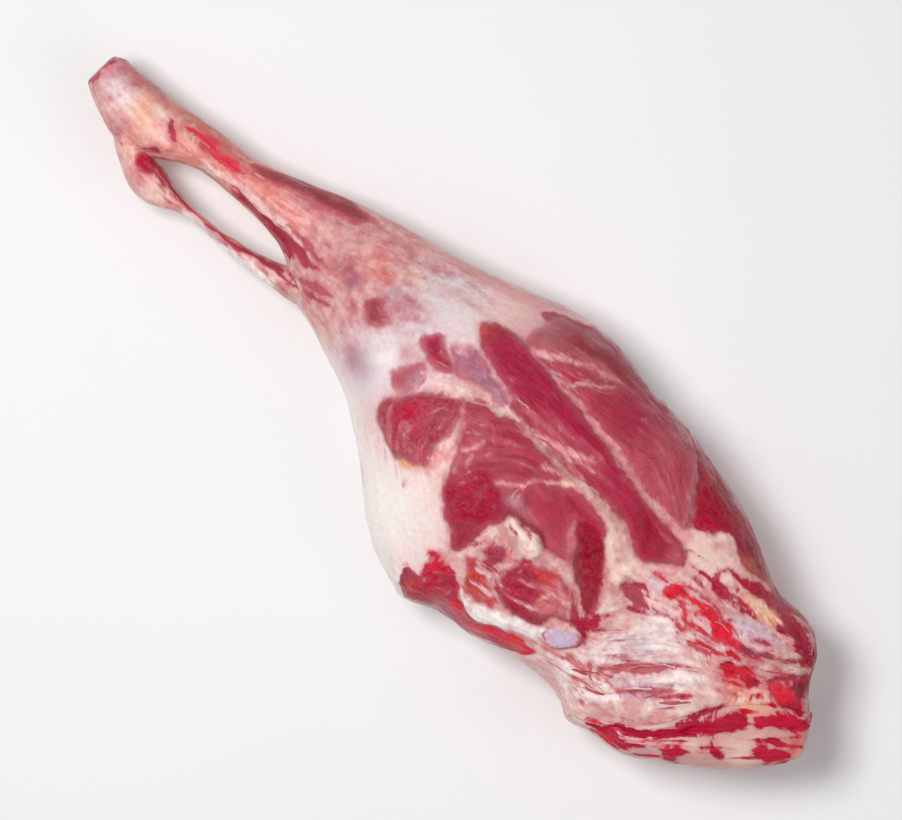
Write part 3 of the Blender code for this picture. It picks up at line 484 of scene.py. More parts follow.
LEAN_STAINS = [
    (-16, 39, 7, 6, 0, "rust", 0.9), (104, 26, 9, 6, -20, "wine", 1.0),
    (8, 21, 9, 4, 0, "grey_lilac", 0.8), (7, 58, 9, 9, 0, "mauve", 0.6),
    (38, 71, 12, 7, 0, "dark_maroon", 0.5), (62, 56, 22, 9, 15, "crimson", 0.7),
    (84, 62, 12, 8, 0, "dusky_rose", 0.8), (96, 45, 9, 4, 0, "dusky_rose", 0.6),
    (115, 64, 14, 5, -20, "dark_maroon", 0.7), (146, 54, 20, 7, -10, "dark_maroon", 0.8),
    (148, 47, 10, 2.5, 0, "brown_pink", 0.6), (208, 26, 8, 10, 0, "dark_maroon", 0.7),
    (182, 48, 18, 5, 0, "maroon", 0.8), (-12, -14, 6, 9, 20, "bright_crimson", 0.95),
    (-1, -25, 6, 4, 0, "rose", 0.8), (19, -10, 5, 13, 15, "dusky_rose", 0.6),
    (120, 24, 6, 8, 0, "rose", 0.6), (-4, 23, 10, 5, -15, "plum", 0.4),
    (-21, 0, 4, 5, 0, "lilac", 0.8), (66, 2, 20, 8, 0, "crimson", 0.6),
    (58, -9, 8, 3, 0, "mauve", 0.5), (82, -9, 7, 3, 0, "rose", 0.6),
    (12, 6, 10, 5, 40, "dusky_rose", 0.6), (49, -8, 4, 3, 0, "lilac", 0.5),
    (74, 9, 16, 4, -6, "ruby", 0.7), (80, -41, 8, 4, 0, "bright_crimson", 0.8),
    (84, -23, 8, 3, 0, "orange_red", 0.8), (93, -31, 5, 7, 0, "coral", 0.9),
    (100, -28, 4, 3, 0, "pink", 0.6), (43, -54, 7, 6, 0, "scarlet", 0.5),
    (53, -57, 4, 4, 0, "maroon", 0.6),
]

# How far below the shoulder the lean shows on the knee side and on the tendon side.
KNEE_LEAN = [
    (-226, -10), (-150, -10), (-142, 2), (-110, 11), (-84, 5), (-66, -8), (-8, -8), (6, 6),
    (20, 22), (45, 36), (90, 38), (130, 40), (170, 38), (226, 44),
]
TENDON_LEAN = [
    (-226, -10), (30, -8), (40, 16), (52, 31), (66, 37), (84, 31), (98, 16), (110, -6), (138, -8),
    (152, 8), (170, 6), (188, 22), (226, 40),
]
# Which way the fibres and strings run: x, y, reach and direction in degrees.
FLOW = [
    (-200, 0, 34, -3), (-150, 14, 24, 6), (-118, 22, 24, 17), (-95, 0, 18, -8), (-70, -8, 22, -14),
    (-70, 32, 24, 24), (-30, 48, 26, 22), (-30, -22, 24, -36), (8, -50, 30, -34), (0, 40, 20, 8),
    (48, 32, 30, -8), (-10, -14, 17, 62), (12, 8, 12, 30), (34, 2, 20, 48), (36, -24, 14, 75),
    (66, 0, 17, -12), (100, -8, 12, -60), (74, 17, 14, 0), (97, 13, 10, -38), (18, 62, 22, 26),
    (60, 58, 24, 24), (100, 54, 16, -42), (118, 58, 20, -24), (126, 34, 16, 24), (166, 42, 22, -4),
    (186, 24, 17, 32), (150, 17, 18, 4), (178, 6, 14, 22), (118, -2, 10, 12), (138, -22, 20, 45),
    (160, -30, 18, 48), (116, -46, 13, 15), (134, -54, 13, 20), (172, -42, 18, 44),
    (206, -8, 18, 42), (214, 14, 12, 34), (84, -32, 13, 20), (50, -60, 13, 72), (88, -57, 16, 24),
    (66, -52, 12, 22),
]

# Where strings of torn tissue lie thick: x, y, reach along and across their direction, kind, tone
# and how much of the place they fill.
STRINGS = [
    (150, 16, 26, 7, "cut", "scarlet", 0.5), (180, 13, 16, 9, "cut", "scarlet", 0.62),
    (205, 14, 12, 10, "cut", "scarlet", 0.5), (198, 19, 12, 7, "fat", "rose", 0.46),
    (160, 4, 18, 6, "cut", "scarlet", 0.46), (122, -1, 13, 5, "cut", "crimson", 0.44),
    (184, 38, 20, 6, "cut", "deep_crimson", 0.5), (198, 31, 16, 9, "cut", "deep_crimson", 0.64),
    (146, 29, 16, 5, "cut", "deep_crimson", 0.42), (118, -24, 12, 12, "cut", "crimson", 0.44),
    (142, -30, 20, 12, "cut", "rose", 0.4), (162, -22, 18, 14, "cut", "rose", 0.4),
    (178, -32, 26, 7, "cut", "bright_crimson", 0.52), (160, -54, 24, 6, "cut", "scarlet", 0.6),
    (190, -16, 20, 10, "cut", "bright_crimson", 0.42),
    (212, 0, 14, 14, "cut", "bright_crimson", 0.48), (186, 2, 12, 8, "cut", "scarlet", 0.56),
    (124, -48, 16, 8, "cut", "coral", 0.38), (62, -34, 8, 14, "cut", "crimson", 0.44),
    (88, -38, 9, 8, "fat", "rose", 0.26), (96, -27, 9, 5, "fat", "coral", 0.4),
    (48, -60, 12, 9, "fat", "coral", 0.24), (-6, -26, 12, 6, "fat", "dusky_rose", 0.3),
    (40, 7, 18, 9, "fat", "mauve", 0.22), (24, 52, 12, 6, "fat", "dusky_rose", 0.36),
    (58, 24, 22, 6, "fat", "dusky_rose", 0.44), (92, 44, 18, 6, "fat", "dusky_rose", 0.36),
    (30, 18, 34, 5, "cut", "rose", 0.38), (-104, 7, 16, 6, "cut", "rose", 0.26),
    (-162, 11, 18, 6, "cut", "orange_red", 0.42), (-92, -8, 16, 6, "cut", "rose", 0.36),
    (-150, -15, 30, 4, "cut", "rose", 0.38), (70, -46, 14, 8, "fat", "pale_pink", 0.3),
]

# Where the fat is smooth and shows no fibres: x, y, reach along x and along y.
SMOOTH = [
    (2, -52, 48, 26), (-36, -14, 22, 24), (-8, 57, 20, 12), (-30, 36, 16, 12), (128, 36, 18, 9),
]

SHOULDER = 0.6             # the shoulder's place between the widest height and the top
BLUR = 0.45                # how soft an edge is for each mm over which its tone fades
SPILL = 1.2                # how far a tone reaches past its outline, in mm
RAGGED = ((9.0, 1.5), (3.2, 0.8))      # size and reach of the outlines' unevenness
WALL_WANDER = 12.0         # how far the patches' borders stray on their way down a side wall
WALL_GRAIN = (64.0, 26.0, 17.0)         # size of the muscles that show on the side walls
WALL_EDGE = ((26.0, 7.0), (8.0, 3.0))   # size and reach of their edge's unevenness
WALL_DEPTH = 26.0          # the lean field where those muscles are thickest
WALL_SEAM = 1.2            # and how much of it the pale seams between them take up
OUTER_BLUSH = ((34.0, 1.0), (11.0, 0.4))                # size and strength of the outer fat's pink
FAT_BLUSH = ((14.0, 0.7), (5.5, 0.8), (2.4, 0.5))       # size and strength of the pink in the fat
FELL_LUMPS = ((24.0, 0.6), (9.0, 0.32), (3.6, 0.14))  # size and height of the surface's own lumps
STRING_TURN = math.radians(42)          # the direction of the stringy tissue in the pelvis
BASE_SINK = 2.0            # how far the bare top lies under the CAD's, to leave room for relief
SPINE_SINK = 3.0           # how far the meat lies below the sawn bone laid over it
STREAK_SIZE = 2.3          # width of the fibres' relief
STRING_SIZE = 3.2          # width of the strings of torn tissue
DEEP_FAT = -12.0           # the lean field where nothing has been drawn
PLAIN_BLUR = 0.4           # the softness of an edge there
STRING_CELL = (9.0, 2.2)   # length and width of the ridges in the pelvis
STRING_RISE = 0.9
PELVIS = (138.0, -24.0)
PELVIS_REACH = (34.0, 30.0)
COMB_STEPS = 7             # places each way along the fibres from which a combed noise is averaged
FILM_HAZE = 0.03           # the light that the wet film adds to every tone
LEAST_TONE = 0.2           # the least share of a tone that is left without it
CELL_FACTORS = (73856093, 19349663, 83492791)           # odd numbers that scatter the noise's cells
SEED_FACTOR = 2654435761
MIX_FACTORS = (2246822519, 3266489917)
WORD = 0xFFFFFFFF          # keeps a number to 32 bits

# ------------------------------------------------------------------------------------ plain numbers


def follow(points, at):
    """Smooth line through (place, value) points that never overshoots them: a cubic between each
    two points, whose slope at a point is the harmonic mean of the slopes on its two sides."""
    place, value = np.array(points, float).T
    step = np.diff(place)
    slope = np.diff(value) / step
    both = slope[1:] * slope[:-1]
    inner = np.where(both > 0, 2 * both / np.where(both > 0, slope[1:] + slope[:-1], 1), 0)
    lean = np.concatenate([slope[:1], inner, slope[-1:]])
    i = np.clip(np.searchsorted(place, at) - 1, 0, len(step) - 1)
    t = np.clip((at - place[i]) / step[i], 0, 1)
    start = value[i] * (1 + 2 * t) + step[i] * lean[i] * t
    end = value[i + 1] * (3 - 2 * t) - step[i] * lean[i + 1] * (1 - t)
    return start * (1 - t) ** 2 + end * t**2


def squared(angle, squareness):
    """Point of a squared circle in the direction angle: (cos, sin) over the sum of their powers,
    that sum to the power 1 / squareness."""
    across, rise = np.cos(angle), np.sin(angle)
    reach = (np.abs(across) ** squareness + np.abs(rise) ** squareness) ** (-1 / squareness)
    return across * reach, rise * reach


def ease(low, high, value):
    """0 below low, 1 above high and a smooth step 3t^2 - 2t^3 between them."""
    t = np.clip((value - low) / (high - low), 0, 1)
    return t * t * (3 - 2 * t)


def turned(vectors, angle):
    """(x, y) vectors turned by angle."""
    cosine, sine = math.cos(angle), math.sin(angle)
    return np.stack([vectors[..., 0] * cosine - vectors[..., 1] * sine,
                     vectors[..., 0] * sine + vectors[..., 1] * cosine], axis=-1)


def linear(name):
    """A tone of the palette as the surface's own colour: the sRGB curve undone, without the light
    that the wet film adds."""
    share = np.array(TONES[name], float) / 255
    seen = np.where(share <= 0.04045, share / 12.92, ((share + 0.055) / 1.055) ** 2.4)
    return np.clip(np.maximum(seen - FILM_HAZE, LEAST_TONE * seen), 0, 0.95)


def scramble(cell, seed):
    """Three random numbers from -1 to 1 for each whole-number cell: its bits multiplied and mixed."""
    scattered = [cell[..., k] * CELL_FACTORS[k] for k in range(3)]
    mixed = (scattered[0] ^ scattered[1] ^ scattered[2] ^ seed * SEED_FACTOR) & WORD
    drawn = []
    for _ in range(3):
        for shift, factor in zip((15, 13), MIX_FACTORS):
            mixed = (mixed ^ (mixed >> shift)) * factor & WORD
        drawn.append((mixed ^ (mixed >> 16)) / (WORD >> 1) - 1)
    return np.stack(drawn, axis=-1)


def rumple(points, size, seed):
    """Smooth noise, about -1 to 1: random slopes on a lattice of cells of that size, eased between
    each cell's eight corners."""
    place = np.asarray(points) / size
    corner = np.floor(place).astype(np.int64)
    inside_cell = place - corner
    eased = inside_cell**3 * (inside_cell * (inside_cell * 6 - 15) + 10)
    total = np.zeros(place.shape[:-1])
    for step in itertools.product((0, 1), repeat=3):
        share = np.prod(np.where(step, eased, 1 - eased), axis=-1)
        total += share * (scramble(corner + step, seed) * (inside_cell - step)).sum(axis=-1)
    return total * 1.6


def layered(points, layers, seed):
    """Sum of rumples: one for each (size, height)."""
    return sum(height * rumple(points, size, seed + k) for k, (size, height) in enumerate(layers))


def flow_angle(at):
    """Direction of the fibres at (x, y): the zones' directions averaged, each with the weight of a
    bell curve. Angles are doubled meanwhile, because a fibre has no head or tail."""
    doubled = np.zeros(at.shape)
    for x, y, reach, degrees in FLOW:
        share = np.exp(-((at - (x, y)) ** 2).sum(axis=-1) / reach**2) + 1e-9
        angle = math.radians(2 * degrees)
        doubled += share[:, None] * (math.cos(angle), math.sin(angle))
    return np.arctan2(doubled[:, 1], doubled[:, 0]) / 2


def combed(points, size, seed):
    """Noise combed along the fibres: the mean of a fine noise at places stepped both ways along
    them, made as strong as the noise itself."""
    total = rumple(points, size, seed)
    for way in (-1, 1):
        place = points.copy()
        for _ in range(COMB_STEPS):
            angle = flow_angle(place[:, :2])
            place[:, 0] += way * 0.75 * size * np.cos(angle)
            place[:, 1] += way * 0.75 * size * np.sin(angle)
            total += rumple(place, size, seed)
    return np.clip(total / total.std() / 2, -1, 1)


# ---------------------------------------------------------------------------- drawing the face's map


def bend(points, closed, steps=5):
    """Curve through points, of any number of columns: between each two, the cubic whose slope at a
    point is half the run between its neighbours."""
    line = np.array(points, float)
    before = np.roll(line, 1, axis=0)
    after, later = np.roll(line, -1, axis=0), np.roll(line, -2, axis=0)
    if not closed:
        before[0], after[-1], later[-2:] = line[0], line[-1], line[-1]
    t = np.linspace(0, 1, steps, endpoint=False)[None, :, None]
    p0, p1, p2, p3 = (side[:, None, :] for side in (before, line, after, later))
    cubic = p1 + t / 2 * (p2 - p0 + t * (2 * p0 - 5 * p1 + 4 * p2 - p3 + t * (3 * (p1 - p2) + p3 - p0)))
    curve = cubic.reshape(-1, line.shape[1])
    return curve if closed else curve[:(len(line) - 1) * steps + 1]


def nearest(line, at):
    """Distance from each point at to a line, and the line's further columns at the nearest place."""
    start, run = line[:-1], np.diff(line, axis=0)
    gap = at[:, None, :] - start[None, :, :2]
    length = np.maximum((run[:, :2] ** 2).sum(axis=-1), 1e-9)
    t = np.clip((gap * run[None, :, :2]).sum(axis=-1) / length, 0, 1)
    away = np.linalg.norm(gap - t[..., None] * run[None, :, :2], axis=-1)
    best = away.argmin(axis=1)
    row = np.arange(len(at))
    return away[row, best], start[best, 2:] + t[row, best, None] * run[best, 2:]


def inside(outline, at):
    """Whether each point lies within a closed outline: a ray from it crosses an odd number of sides."""
    x, y = at[:, :1], at[:, 1:]
    start, end = outline, np.roll(outline, -1, axis=0)
    straddles = (start[:, 1] > y) != (end[:, 1] > y)
    rise = np.where(end[:, 1] == start[:, 1], 1, end[:, 1] - start[:, 1])
    crossing = start[:, 0] + (y - start[:, 1]) / rise * (end[:, 0] - start[:, 0])
    return (straddles & (x < crossing)).sum(axis=1) % 2 == 1


def close_to(line, at, margin):
    """Indices of the points within the line's box, widened by margin."""
    low, high = line[:, :2].min(axis=0) - margin, line[:, :2].max(axis=0) + margin
    return np.flatnonzero(((at > low) & (at < high)).all(axis=1))


def lay(skin, near, kind, tone, deep, soft):
    """Draws a shape whose points lie deep within it: lean is added or fat laid over it, and its tone
    fades in across its outline."""
    field = skin["lean"][near]
    skin["lean"][near] = np.minimum(field, -deep) if kind == "fat" else np.maximum(field, deep)
    share = ease(-SPILL - soft / 2, soft / 2, deep)
    tint = skin["fat_tint"] if kind == "fat" else skin["lean_tint"]
    tint[near] += share[:, None] * (linear(tone) - tint[near])
    skin["cut"][near] += share * ((kind == "cut") - skin["cut"][near])
    skin["blur"][near] += share * (BLUR * soft - skin["blur"][near])


def lay_patch(skin, at, kind, tone, soft, rise, shoulder, outline):
    """A closed patch. It stands rise high, up a quarter circle as wide as its shoulder."""
    outline = bend(outline, closed=True)
    near = close_to(outline, at, SPILL + soft + 1)
    away = nearest(np.vstack([outline, outline[:1]]), at[near])[0]
    deep = np.where(inside(outline, at[near]), away, -away)
    lay(skin, near, kind, tone, deep, soft)
    skin["relief"][near] += rise * np.sqrt(1 - (1 - np.clip(deep / shoulder, 0, 1)) ** 2)


def lay_strand(skin, at, kind, tone, rise, line):
    """A strand along a line of (x, y, half width), whose section is a parabola rise high."""
    line = bend(line, closed=False)
    near = close_to(line, at, line[:, 2].max() + SPILL + 2)
    away, half = nearest(line, at[near])
    half = half[:, 0]
    lay(skin, near, kind, tone, half - away, 1.8 if kind == "fat" else 0.8)
    skin["relief"][near] += rise * np.clip(1 - (away / (half + 0.6)) ** 2, 0, 1)


def lay_strings(skin, at, streak, x, y, along, across, kind, tone, fill):
    """Strings where the combed noise stands above a level, which drops towards the place's middle."""
    angle = flow_angle(np.array([[x, y]], float))[0]
    local = turned(at - (x, y), -angle) / (along, across)
    thick = np.exp(-(local**2).sum(axis=-1))
    near = np.flatnonzero(thick > 0.05)
    deep = 2.6 * (streak[near] - 1 + 1.5 * fill * thick[near])
    lay(skin, near, kind, tone, np.minimum(deep, 1.5), 1.3)
    skin["torn"][near] = np.maximum(skin["torn"][near], 2 * fill * ease(0, 0.6, thick[near]))
    skin["relief"][near] += 0.5 * ease(-1.0, 1.0, deep) * (-1 if kind == "cut" else 1)


def stain(tint, at, x, y, along, across, turn, tone, strength):
    """Fades a tone into tint as a bell curve with its own reach along and across its direction."""
    local = turned(at - (x, y), -math.radians(turn)) / (along, across)
    share = strength * np.exp(-(local**2).sum(axis=-1))[:, None]
    tint += share * (linear(tone) - tint)


def ground(stops, x):
    """Colour along the leg, eased between the tones at the given places."""
    places = np.array([place for place, _ in stops], float)
    tones = np.array([linear(name) for _, name in stops])
    i = np.clip(np.searchsorted(places, x) - 1, 0, len(places) - 2)
    share = ease(places[i], places[i + 1], x)[:, None]
    return tones[i] + share * (tones[i + 1] - tones[i])


def smoothness(at):
    """How smooth the fat is at each point, 0 to 1: the most that any of the smooth places gives."""
    plain = np.zeros(len(at))
    for x, y, along, across in SMOOTH:
        far = ((at[:, 0] - x) / along) ** 2 + ((at[:, 1] - y) / across) ** 2
        plain = np.maximum(plain, np.exp(-far**2))
    return plain


def blank_skin(at, streak, plain):
    """The skin's fields before anything is drawn: deep fat, in the colours of its ground."""
    start = {"lean": DEEP_FAT, "cut": 0.0, "blur": PLAIN_BLUR, "torn": 0.0, "relief": 0.0}
    skin = {field: np.full(len(at), value) for field, value in start.items()}
    return {**skin, "streak": streak, "smooth": plain,
            "lean_tint": np.tile(linear("dusky_red"), (len(at), 1)),
            "fat_tint": ground(FAT_GROUND, at[:, 0])}


def draw_skin(points, at, drop):
    """What the meat is like at points: at is their place on the map and drop how far they lie below
    the shoulder. Past the shoulder the outer side's own lean edge and colours take over."""
    at = at + np.stack([layered(points, RAGGED, seed) for seed in (11, 23)], axis=-1)
    at[:, 0] += WALL_WANDER * ease(0, 25, drop) * rumple(points, 24, 35)
    streak, strings = combed(points, STREAK_SIZE, 101), combed(points, STRING_SIZE, 131)
    plain = smoothness(at)
    streak *= 1 - 0.9 * plain
    skin = blank_skin(at, streak, plain)
    for spot in FAT_STAINS:
        stain(skin["fat_tint"], at, *spot)
    for patch in PATCHES.values():
        lay_patch(skin, at, *patch)
    for place in STRINGS:
        lay_strings(skin, at, strings, *place)
    for strand in STRANDS.values():
        lay_strand(skin, at, *strand)
    blush = ease(0, 0.9, layered(points, FAT_BLUSH, 43)) * (1 - plain) * (1 - 0.6 * skin["torn"])
    skin["fat_tint"] += 0.5 * blush[:, None] * (linear("rose") - skin["fat_tint"])
    for spot in LEAN_STAINS:
        stain(skin["lean_tint"], at, *spot)
    wrap_outer_side(skin, points, at, drop)
    skin["relief"] += streak * (0.1 + 0.2 * ease(-1.5, 0.5, skin["lean"]))
    skin["fibre_place"] = fibre_place(points)
    return skin


def fibre_place(points):
    """Points turned about each zone's middle so that their first number runs along its fibres, and
    averaged with the weight of a bell curve for each zone."""
    total, shares = np.zeros(points.shape), np.zeros((len(points), 1))
    for x, y, reach, degrees in FLOW:
        gap = points - (x, y, 0)
        share = np.exp(-2 * (gap[:, :2] ** 2).sum(axis=-1, keepdims=True) / reach**2) + 1e-12
        flat = turned(gap[:, :2], -math.radians(degrees)) + (x, y)
        total += share * np.column_stack([flat, gap[:, 2]])
        shares += share
    return total / shares * MM


def wrap_outer_side(skin, points, at, drop):
    """Below the shoulder: lean down to its side's edge, fading to a plain muscle's tone, then the outer
    fat, blushed in patches and rosy on the shank's knee side."""
    reach = np.where(at[:, 1] > 0, follow(KNEE_LEAN, at[:, 0]), follow(TENDON_LEAN, at[:, 0]))
    wander = layered(points, WALL_EDGE, 31)
    muscles = WALL_DEPTH * np.abs(rumple(points / WALL_GRAIN, 1, 33))
    seams = muscles - WALL_SEAM + 9 * ease(16, 7, drop)
    edge = np.clip(np.minimum(reach + wander - drop, seams), -12, 8)
    over = ease(-2, 4, drop)
    skin["lean"] += over * (edge - skin["lean"])
    dark = ease(-0.4, 0.5, rumple(points, 21, 34))[:, None]
    muscle = linear("dusky_red") + dark * (linear("ruby") - linear("dusky_red"))
    skin["lean_tint"] += 0.8 * ease(-2, 18, drop)[:, None] * (muscle - skin["lean_tint"])
    skin["relief"] *= 1 - 0.5 * ease(0, 12, drop)
    outer = ground(OUTER_GROUND, at[:, 0])
    blush = ease(0.1, 0.7, layered(points, OUTER_BLUSH, 41))[:, None]
    outer += 0.55 * blush * (linear("dull_pink") - outer)
    rosy = ease(0, 50, at[:, 1]) * ease(70, -10, at[:, 0])
    outer += 0.75 * rosy[:, None] * (linear("coral") - outer)
    share = ease(0, 14, drop)[:, None]
    skin["fat_tint"] += share * (outer - skin["fat_tint"])
    skin["relief"] += 0.7 * over * ease(0.6, -0.6, skin["lean"])


# -------------------------------------------------------------------------------- the leg's surfaces


def on_board(z):
    """Heights with the underside laid on the board: max(z, 0), rounded over REST_BLEND."""
    near = np.clip(REST_BLEND - np.abs(z), 0, None)
    return np.maximum(z, 0) + near**2 / (4 * REST_BLEND)


def swell(x, y):
    """Height of the broad swells at (x, y): the sum of a bell curve for each."""
    total = np.zeros(np.broadcast(x, y).shape)
    for centre_x, centre_y, reach_x, reach_y, height in SWELLS.values():
        far = ((x - centre_x) / reach_x) ** 2 + ((y - centre_y) / reach_y) ** 2
        total += height * np.exp(-far)
    return total


def leg_surface(x, angle):
    """Points of the leg. x is a column of stations, and angle goes round the ring: 0 is the knee
    side and a quarter turn is the top. A ring is a squared circle, stretched to the leg's two edges
    and to its own top and underside."""
    knee, tendon = follow(KNEE_EDGE, x), follow(TENDON_EDGE, x)
    top, under, widest = follow(TOP, x), follow(UNDERSIDE, x), follow(WIDEST, x)
    upper = np.sin(angle) > 0
    squareness = np.where(upper, follow(TOP_SQUARENESS, x), follow(UNDER_SQUARENESS, x))
    across, rise = squared(angle, squareness)
    y = (knee + tendon) / 2 + across * (knee - tendon) / 2
    z = widest + rise * np.where(upper, top - widest, widest - under)
    z = z + swell(x, y) * np.clip(rise, 0, 1) ** 0.7
    return np.stack(np.broadcast_arrays(x, y, on_board(z)), axis=-1)


def other_leg(side, squareness):
    """The second number of a squared circle's point, from its first: (1 - side^s)^(1 / s)."""
    return (1 - np.abs(side) ** squareness) ** (1 / squareness)


def ring_angle(x, y):
    """Direction in which the ring at x reaches y on the inner face."""
    knee, tendon = follow(KNEE_EDGE, x), follow(TENDON_EDGE, x)
    across = np.clip((2 * y - knee - tendon) / (knee - tendon), -1, 1)
    return np.arctan2(other_leg(across, follow(TOP_SQUARENESS, x)), across)


def stations(count):
    """Places along the leg, closer together where the ring share is higher: equal steps of the
    share's running sum."""
    place = np.linspace(-LENGTH / 2, LENGTH / 2, 4 * count)
    walked = np.cumsum(follow(RING_SHARE, place))
    return np.interp(np.linspace(walked[0], walked[-1], count), walked, place)


def spread_angles(x):
    """Angles for each ring, so that its points are evenly spaced on the inner face, wider on the
    side walls and widest underneath: equal steps of the ring's weighted length."""
    angle = np.linspace(0, 2 * math.pi, DENSE + 1)[None, :]
    ring = leg_surface(x, angle)
    length = np.linalg.norm(np.diff(ring, axis=1), axis=-1)
    height = (ring[:, 1:, 2] + ring[:, :-1, 2]) / 2
    shoulder = follow(WIDEST, x) + SHOULDER / 2 * (follow(TOP, x) - follow(WIDEST, x))
    share = np.where(height > shoulder, 1, np.where(height > 2, SIDE_SHARE, UNDER_SHARE))
    walked = np.cumsum(np.pad(length * share, ((0, 0), (1, 0))), axis=1)
    walked = walked / walked[:, -1:] * 0.999 + np.arange(len(x))[:, None]
    wanted = np.linspace(0, 0.999, AROUND, endpoint=False)[None, :] + np.arange(len(x))[:, None]
    every = np.broadcast_to(angle, walked.shape)
    return np.interp(wanted.ravel(), walked.ravel(), every.ravel()).reshape(wanted.shape)


def outward(grid, wraps=True):
    """Unit normals of a grid, whose rings close on themselves if it wraps: the cross product of its
    slopes round a ring and along the rings."""
    along, around = np.gradient(grid, axis=0), np.gradient(grid, axis=1)
    if wraps:
        around = np.roll(grid, -1, axis=1) - np.roll(grid, 1, axis=1)
    normal = np.cross(around, along)
    return normal / np.maximum(np.linalg.norm(normal, axis=-1, keepdims=True), 1e-9)


def softened(field, times):
    """A grid's values averaged with their four neighbours, a number of times."""
    for _ in range(times):
        wide = np.pad(field, ((1, 1), (0, 0)), mode="edge")
        field = (wide[:-2] + wide[2:] + np.roll(field, 1, axis=1) + np.roll(field, -1, axis=1)
                 + 2 * field) / 6
    return field


def map_place(points):
    """Where the map is read for points of the leg: their (x, y), with y held at the outline below
    the widest height, and how far each lies below the shoulder."""
    x, y, z = points.T
    knee, tendon, widest = follow(KNEE_EDGE, x), follow(TENDON_EDGE, x), follow(WIDEST, x)
    held = np.where(z > widest, y, np.where(y > (knee + tendon) / 2, knee, tendon))
    return np.stack([x, held], axis=-1), widest + SHOULDER * (follow(TOP, x) - widest) - z


# -------------------------------------------------------------------------------------- mesh making


def quads(rows, columns, wraps):
    """Corner indices of a grid's faces. A grid that wraps joins its last column to its first."""
    row, column = np.arange(rows - 1)[:, None], np.arange(columns if wraps else columns - 1)[None, :]
    after = (column + 1) % columns
    corners = (row * columns + column, row * columns + after, (row + 1) * columns + after,
               (row + 1) * columns + column)
    return np.stack(np.broadcast_arrays(*corners), axis=-1).reshape(-1, 4)


def fan(centre, ring, flip):
    """Triangles from one vertex to a closed ring of vertices."""
    after = np.roll(ring, -1)
    first, second = (after, ring) if flip else (ring, after)
    return np.stack([np.full(len(ring), centre), first, second], axis=-1)


def build(name, points, faces, skin, finish):
    """Object of a smooth mesh from points in millimetres and lists of faces, whose point attributes are
    the skin's fields, with a finish, attached to the body it belongs to."""
    mesh = bpy.data.meshes.new(name)
    corners = np.concatenate([part.ravel() for part in faces])
    sizes = np.concatenate([np.full(len(part), part.shape[1]) for part in faces])
    mesh.vertices.add(len(points))
    mesh.vertices.foreach_set("co", (points * MM).astype(np.float32).ravel())
    mesh.loops.add(len(corners))
    mesh.loops.foreach_set("vertex_index", corners.astype(np.int32))
    mesh.polygons.add(len(sizes))
    mesh.polygons.foreach_set("loop_start", (np.cumsum(sizes) - sizes).astype(np.int32))
    mesh.update(calc_edges=True)
    mesh.validate()
    for field, values in skin.items():
        add_field(mesh, field, np.asarray(values, np.float32))
    mesh.shade_smooth()
    mesh.materials.append(finish)
    piece = bpy.data.objects.new(name, mesh)
    bpy.context.scene.collection.objects.link(piece)
    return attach(piece, "root")


def add_field(mesh, name, values):
    """Point attribute: single numbers, places, or colours where its name says tint."""
    if values.ndim == 1:
        mesh.attributes.new(name, "FLOAT", "POINT").data.foreach_set("value", values)
        return
    if "tint" not in name:
        mesh.attributes.new(name, "FLOAT_VECTOR", "POINT").data.foreach_set("vector", values.ravel())
        return
    colours = np.column_stack([values, np.ones(len(values), np.float32)])
    mesh.attributes.new(name, "FLOAT_COLOR", "POINT").data.foreach_set("color", colours.ravel())


def capped_tube(name, rings, poles, skin, finish):
    """Closed piece of rings, (ring, point, xyz), with one vertex in the middle of each end. The skin
    has the rings' values and then those of the two poles."""
    count, sides = rings.shape[:2]
    points = np.vstack([rings.reshape(-1, 3), poles])
    ring = np.arange(sides)
    last = (count - 1) * sides
    faces = [quads(count, sides, wraps=True), fan(last + sides, ring, True),
             fan(last + sides + 1, ring + last, False)]
    return build(name, points, faces, skin, finish)


def shell(name, outer, inner, skin, finish):
    """Closed piece of two open grids, the outer face and the inner one, joined round their edges."""
    rows, columns = outer.shape[:2]
    points = np.vstack([outer.reshape(-1, 3), inner.reshape(-1, 3)])
    index = np.arange(rows * columns).reshape(rows, columns)
    rim = np.concatenate([index[0, :-1], index[:-1, -1], index[-1, :0:-1], index[:0:-1, 0]])
    after, below = np.roll(rim, -1), rows * columns
    skirt = np.stack([after, rim, rim + below, after + below], axis=-1)
    face = quads(rows, columns, wraps=False)
    return build(name, points, [face, face[:, ::-1] + below, skirt], skin, finish)


# ------------------------------------------------------------------------------------- the pieces

CAP_RINGS = (0.94, 0.84, 0.7, 0.54, 0.38, 0.22, 0.1)    # sizes of the rings on the leg's two ends
SHANK_BONE = (1.0, 28.0)   # (y, z) of its middle in the sawn end
SHANK_BONE_HALF_SIZE = (7.0, 11.5)
HOCK_BULGE = 1.5           # how far the hock's cut end stands out
TENDON_RINGS = 170
TENDON_SIDES = 56


def close_ends(rings, bulge):
    """Rings with shrinking copies of the first and last added, which bulge out along x as a part of
    an ellipse, and the two poles."""
    sizes = np.array(CAP_RINGS)[:, None, None]
    caps = []
    for ring, side in ((rings[0], -1), (rings[-1], 1)):
        middle = (ring.min(axis=0) + ring.max(axis=0)) / 2
        out = np.array([side * bulge, 0, 0])
        cap = middle + sizes * (ring - middle) + out * np.sqrt(1 - sizes**2)
        caps.append((cap, middle + out))
    (first, first_pole), (last, last_pole) = caps
    return np.concatenate([first[::-1], rings, last]), np.stack([first_pole, last_pole])


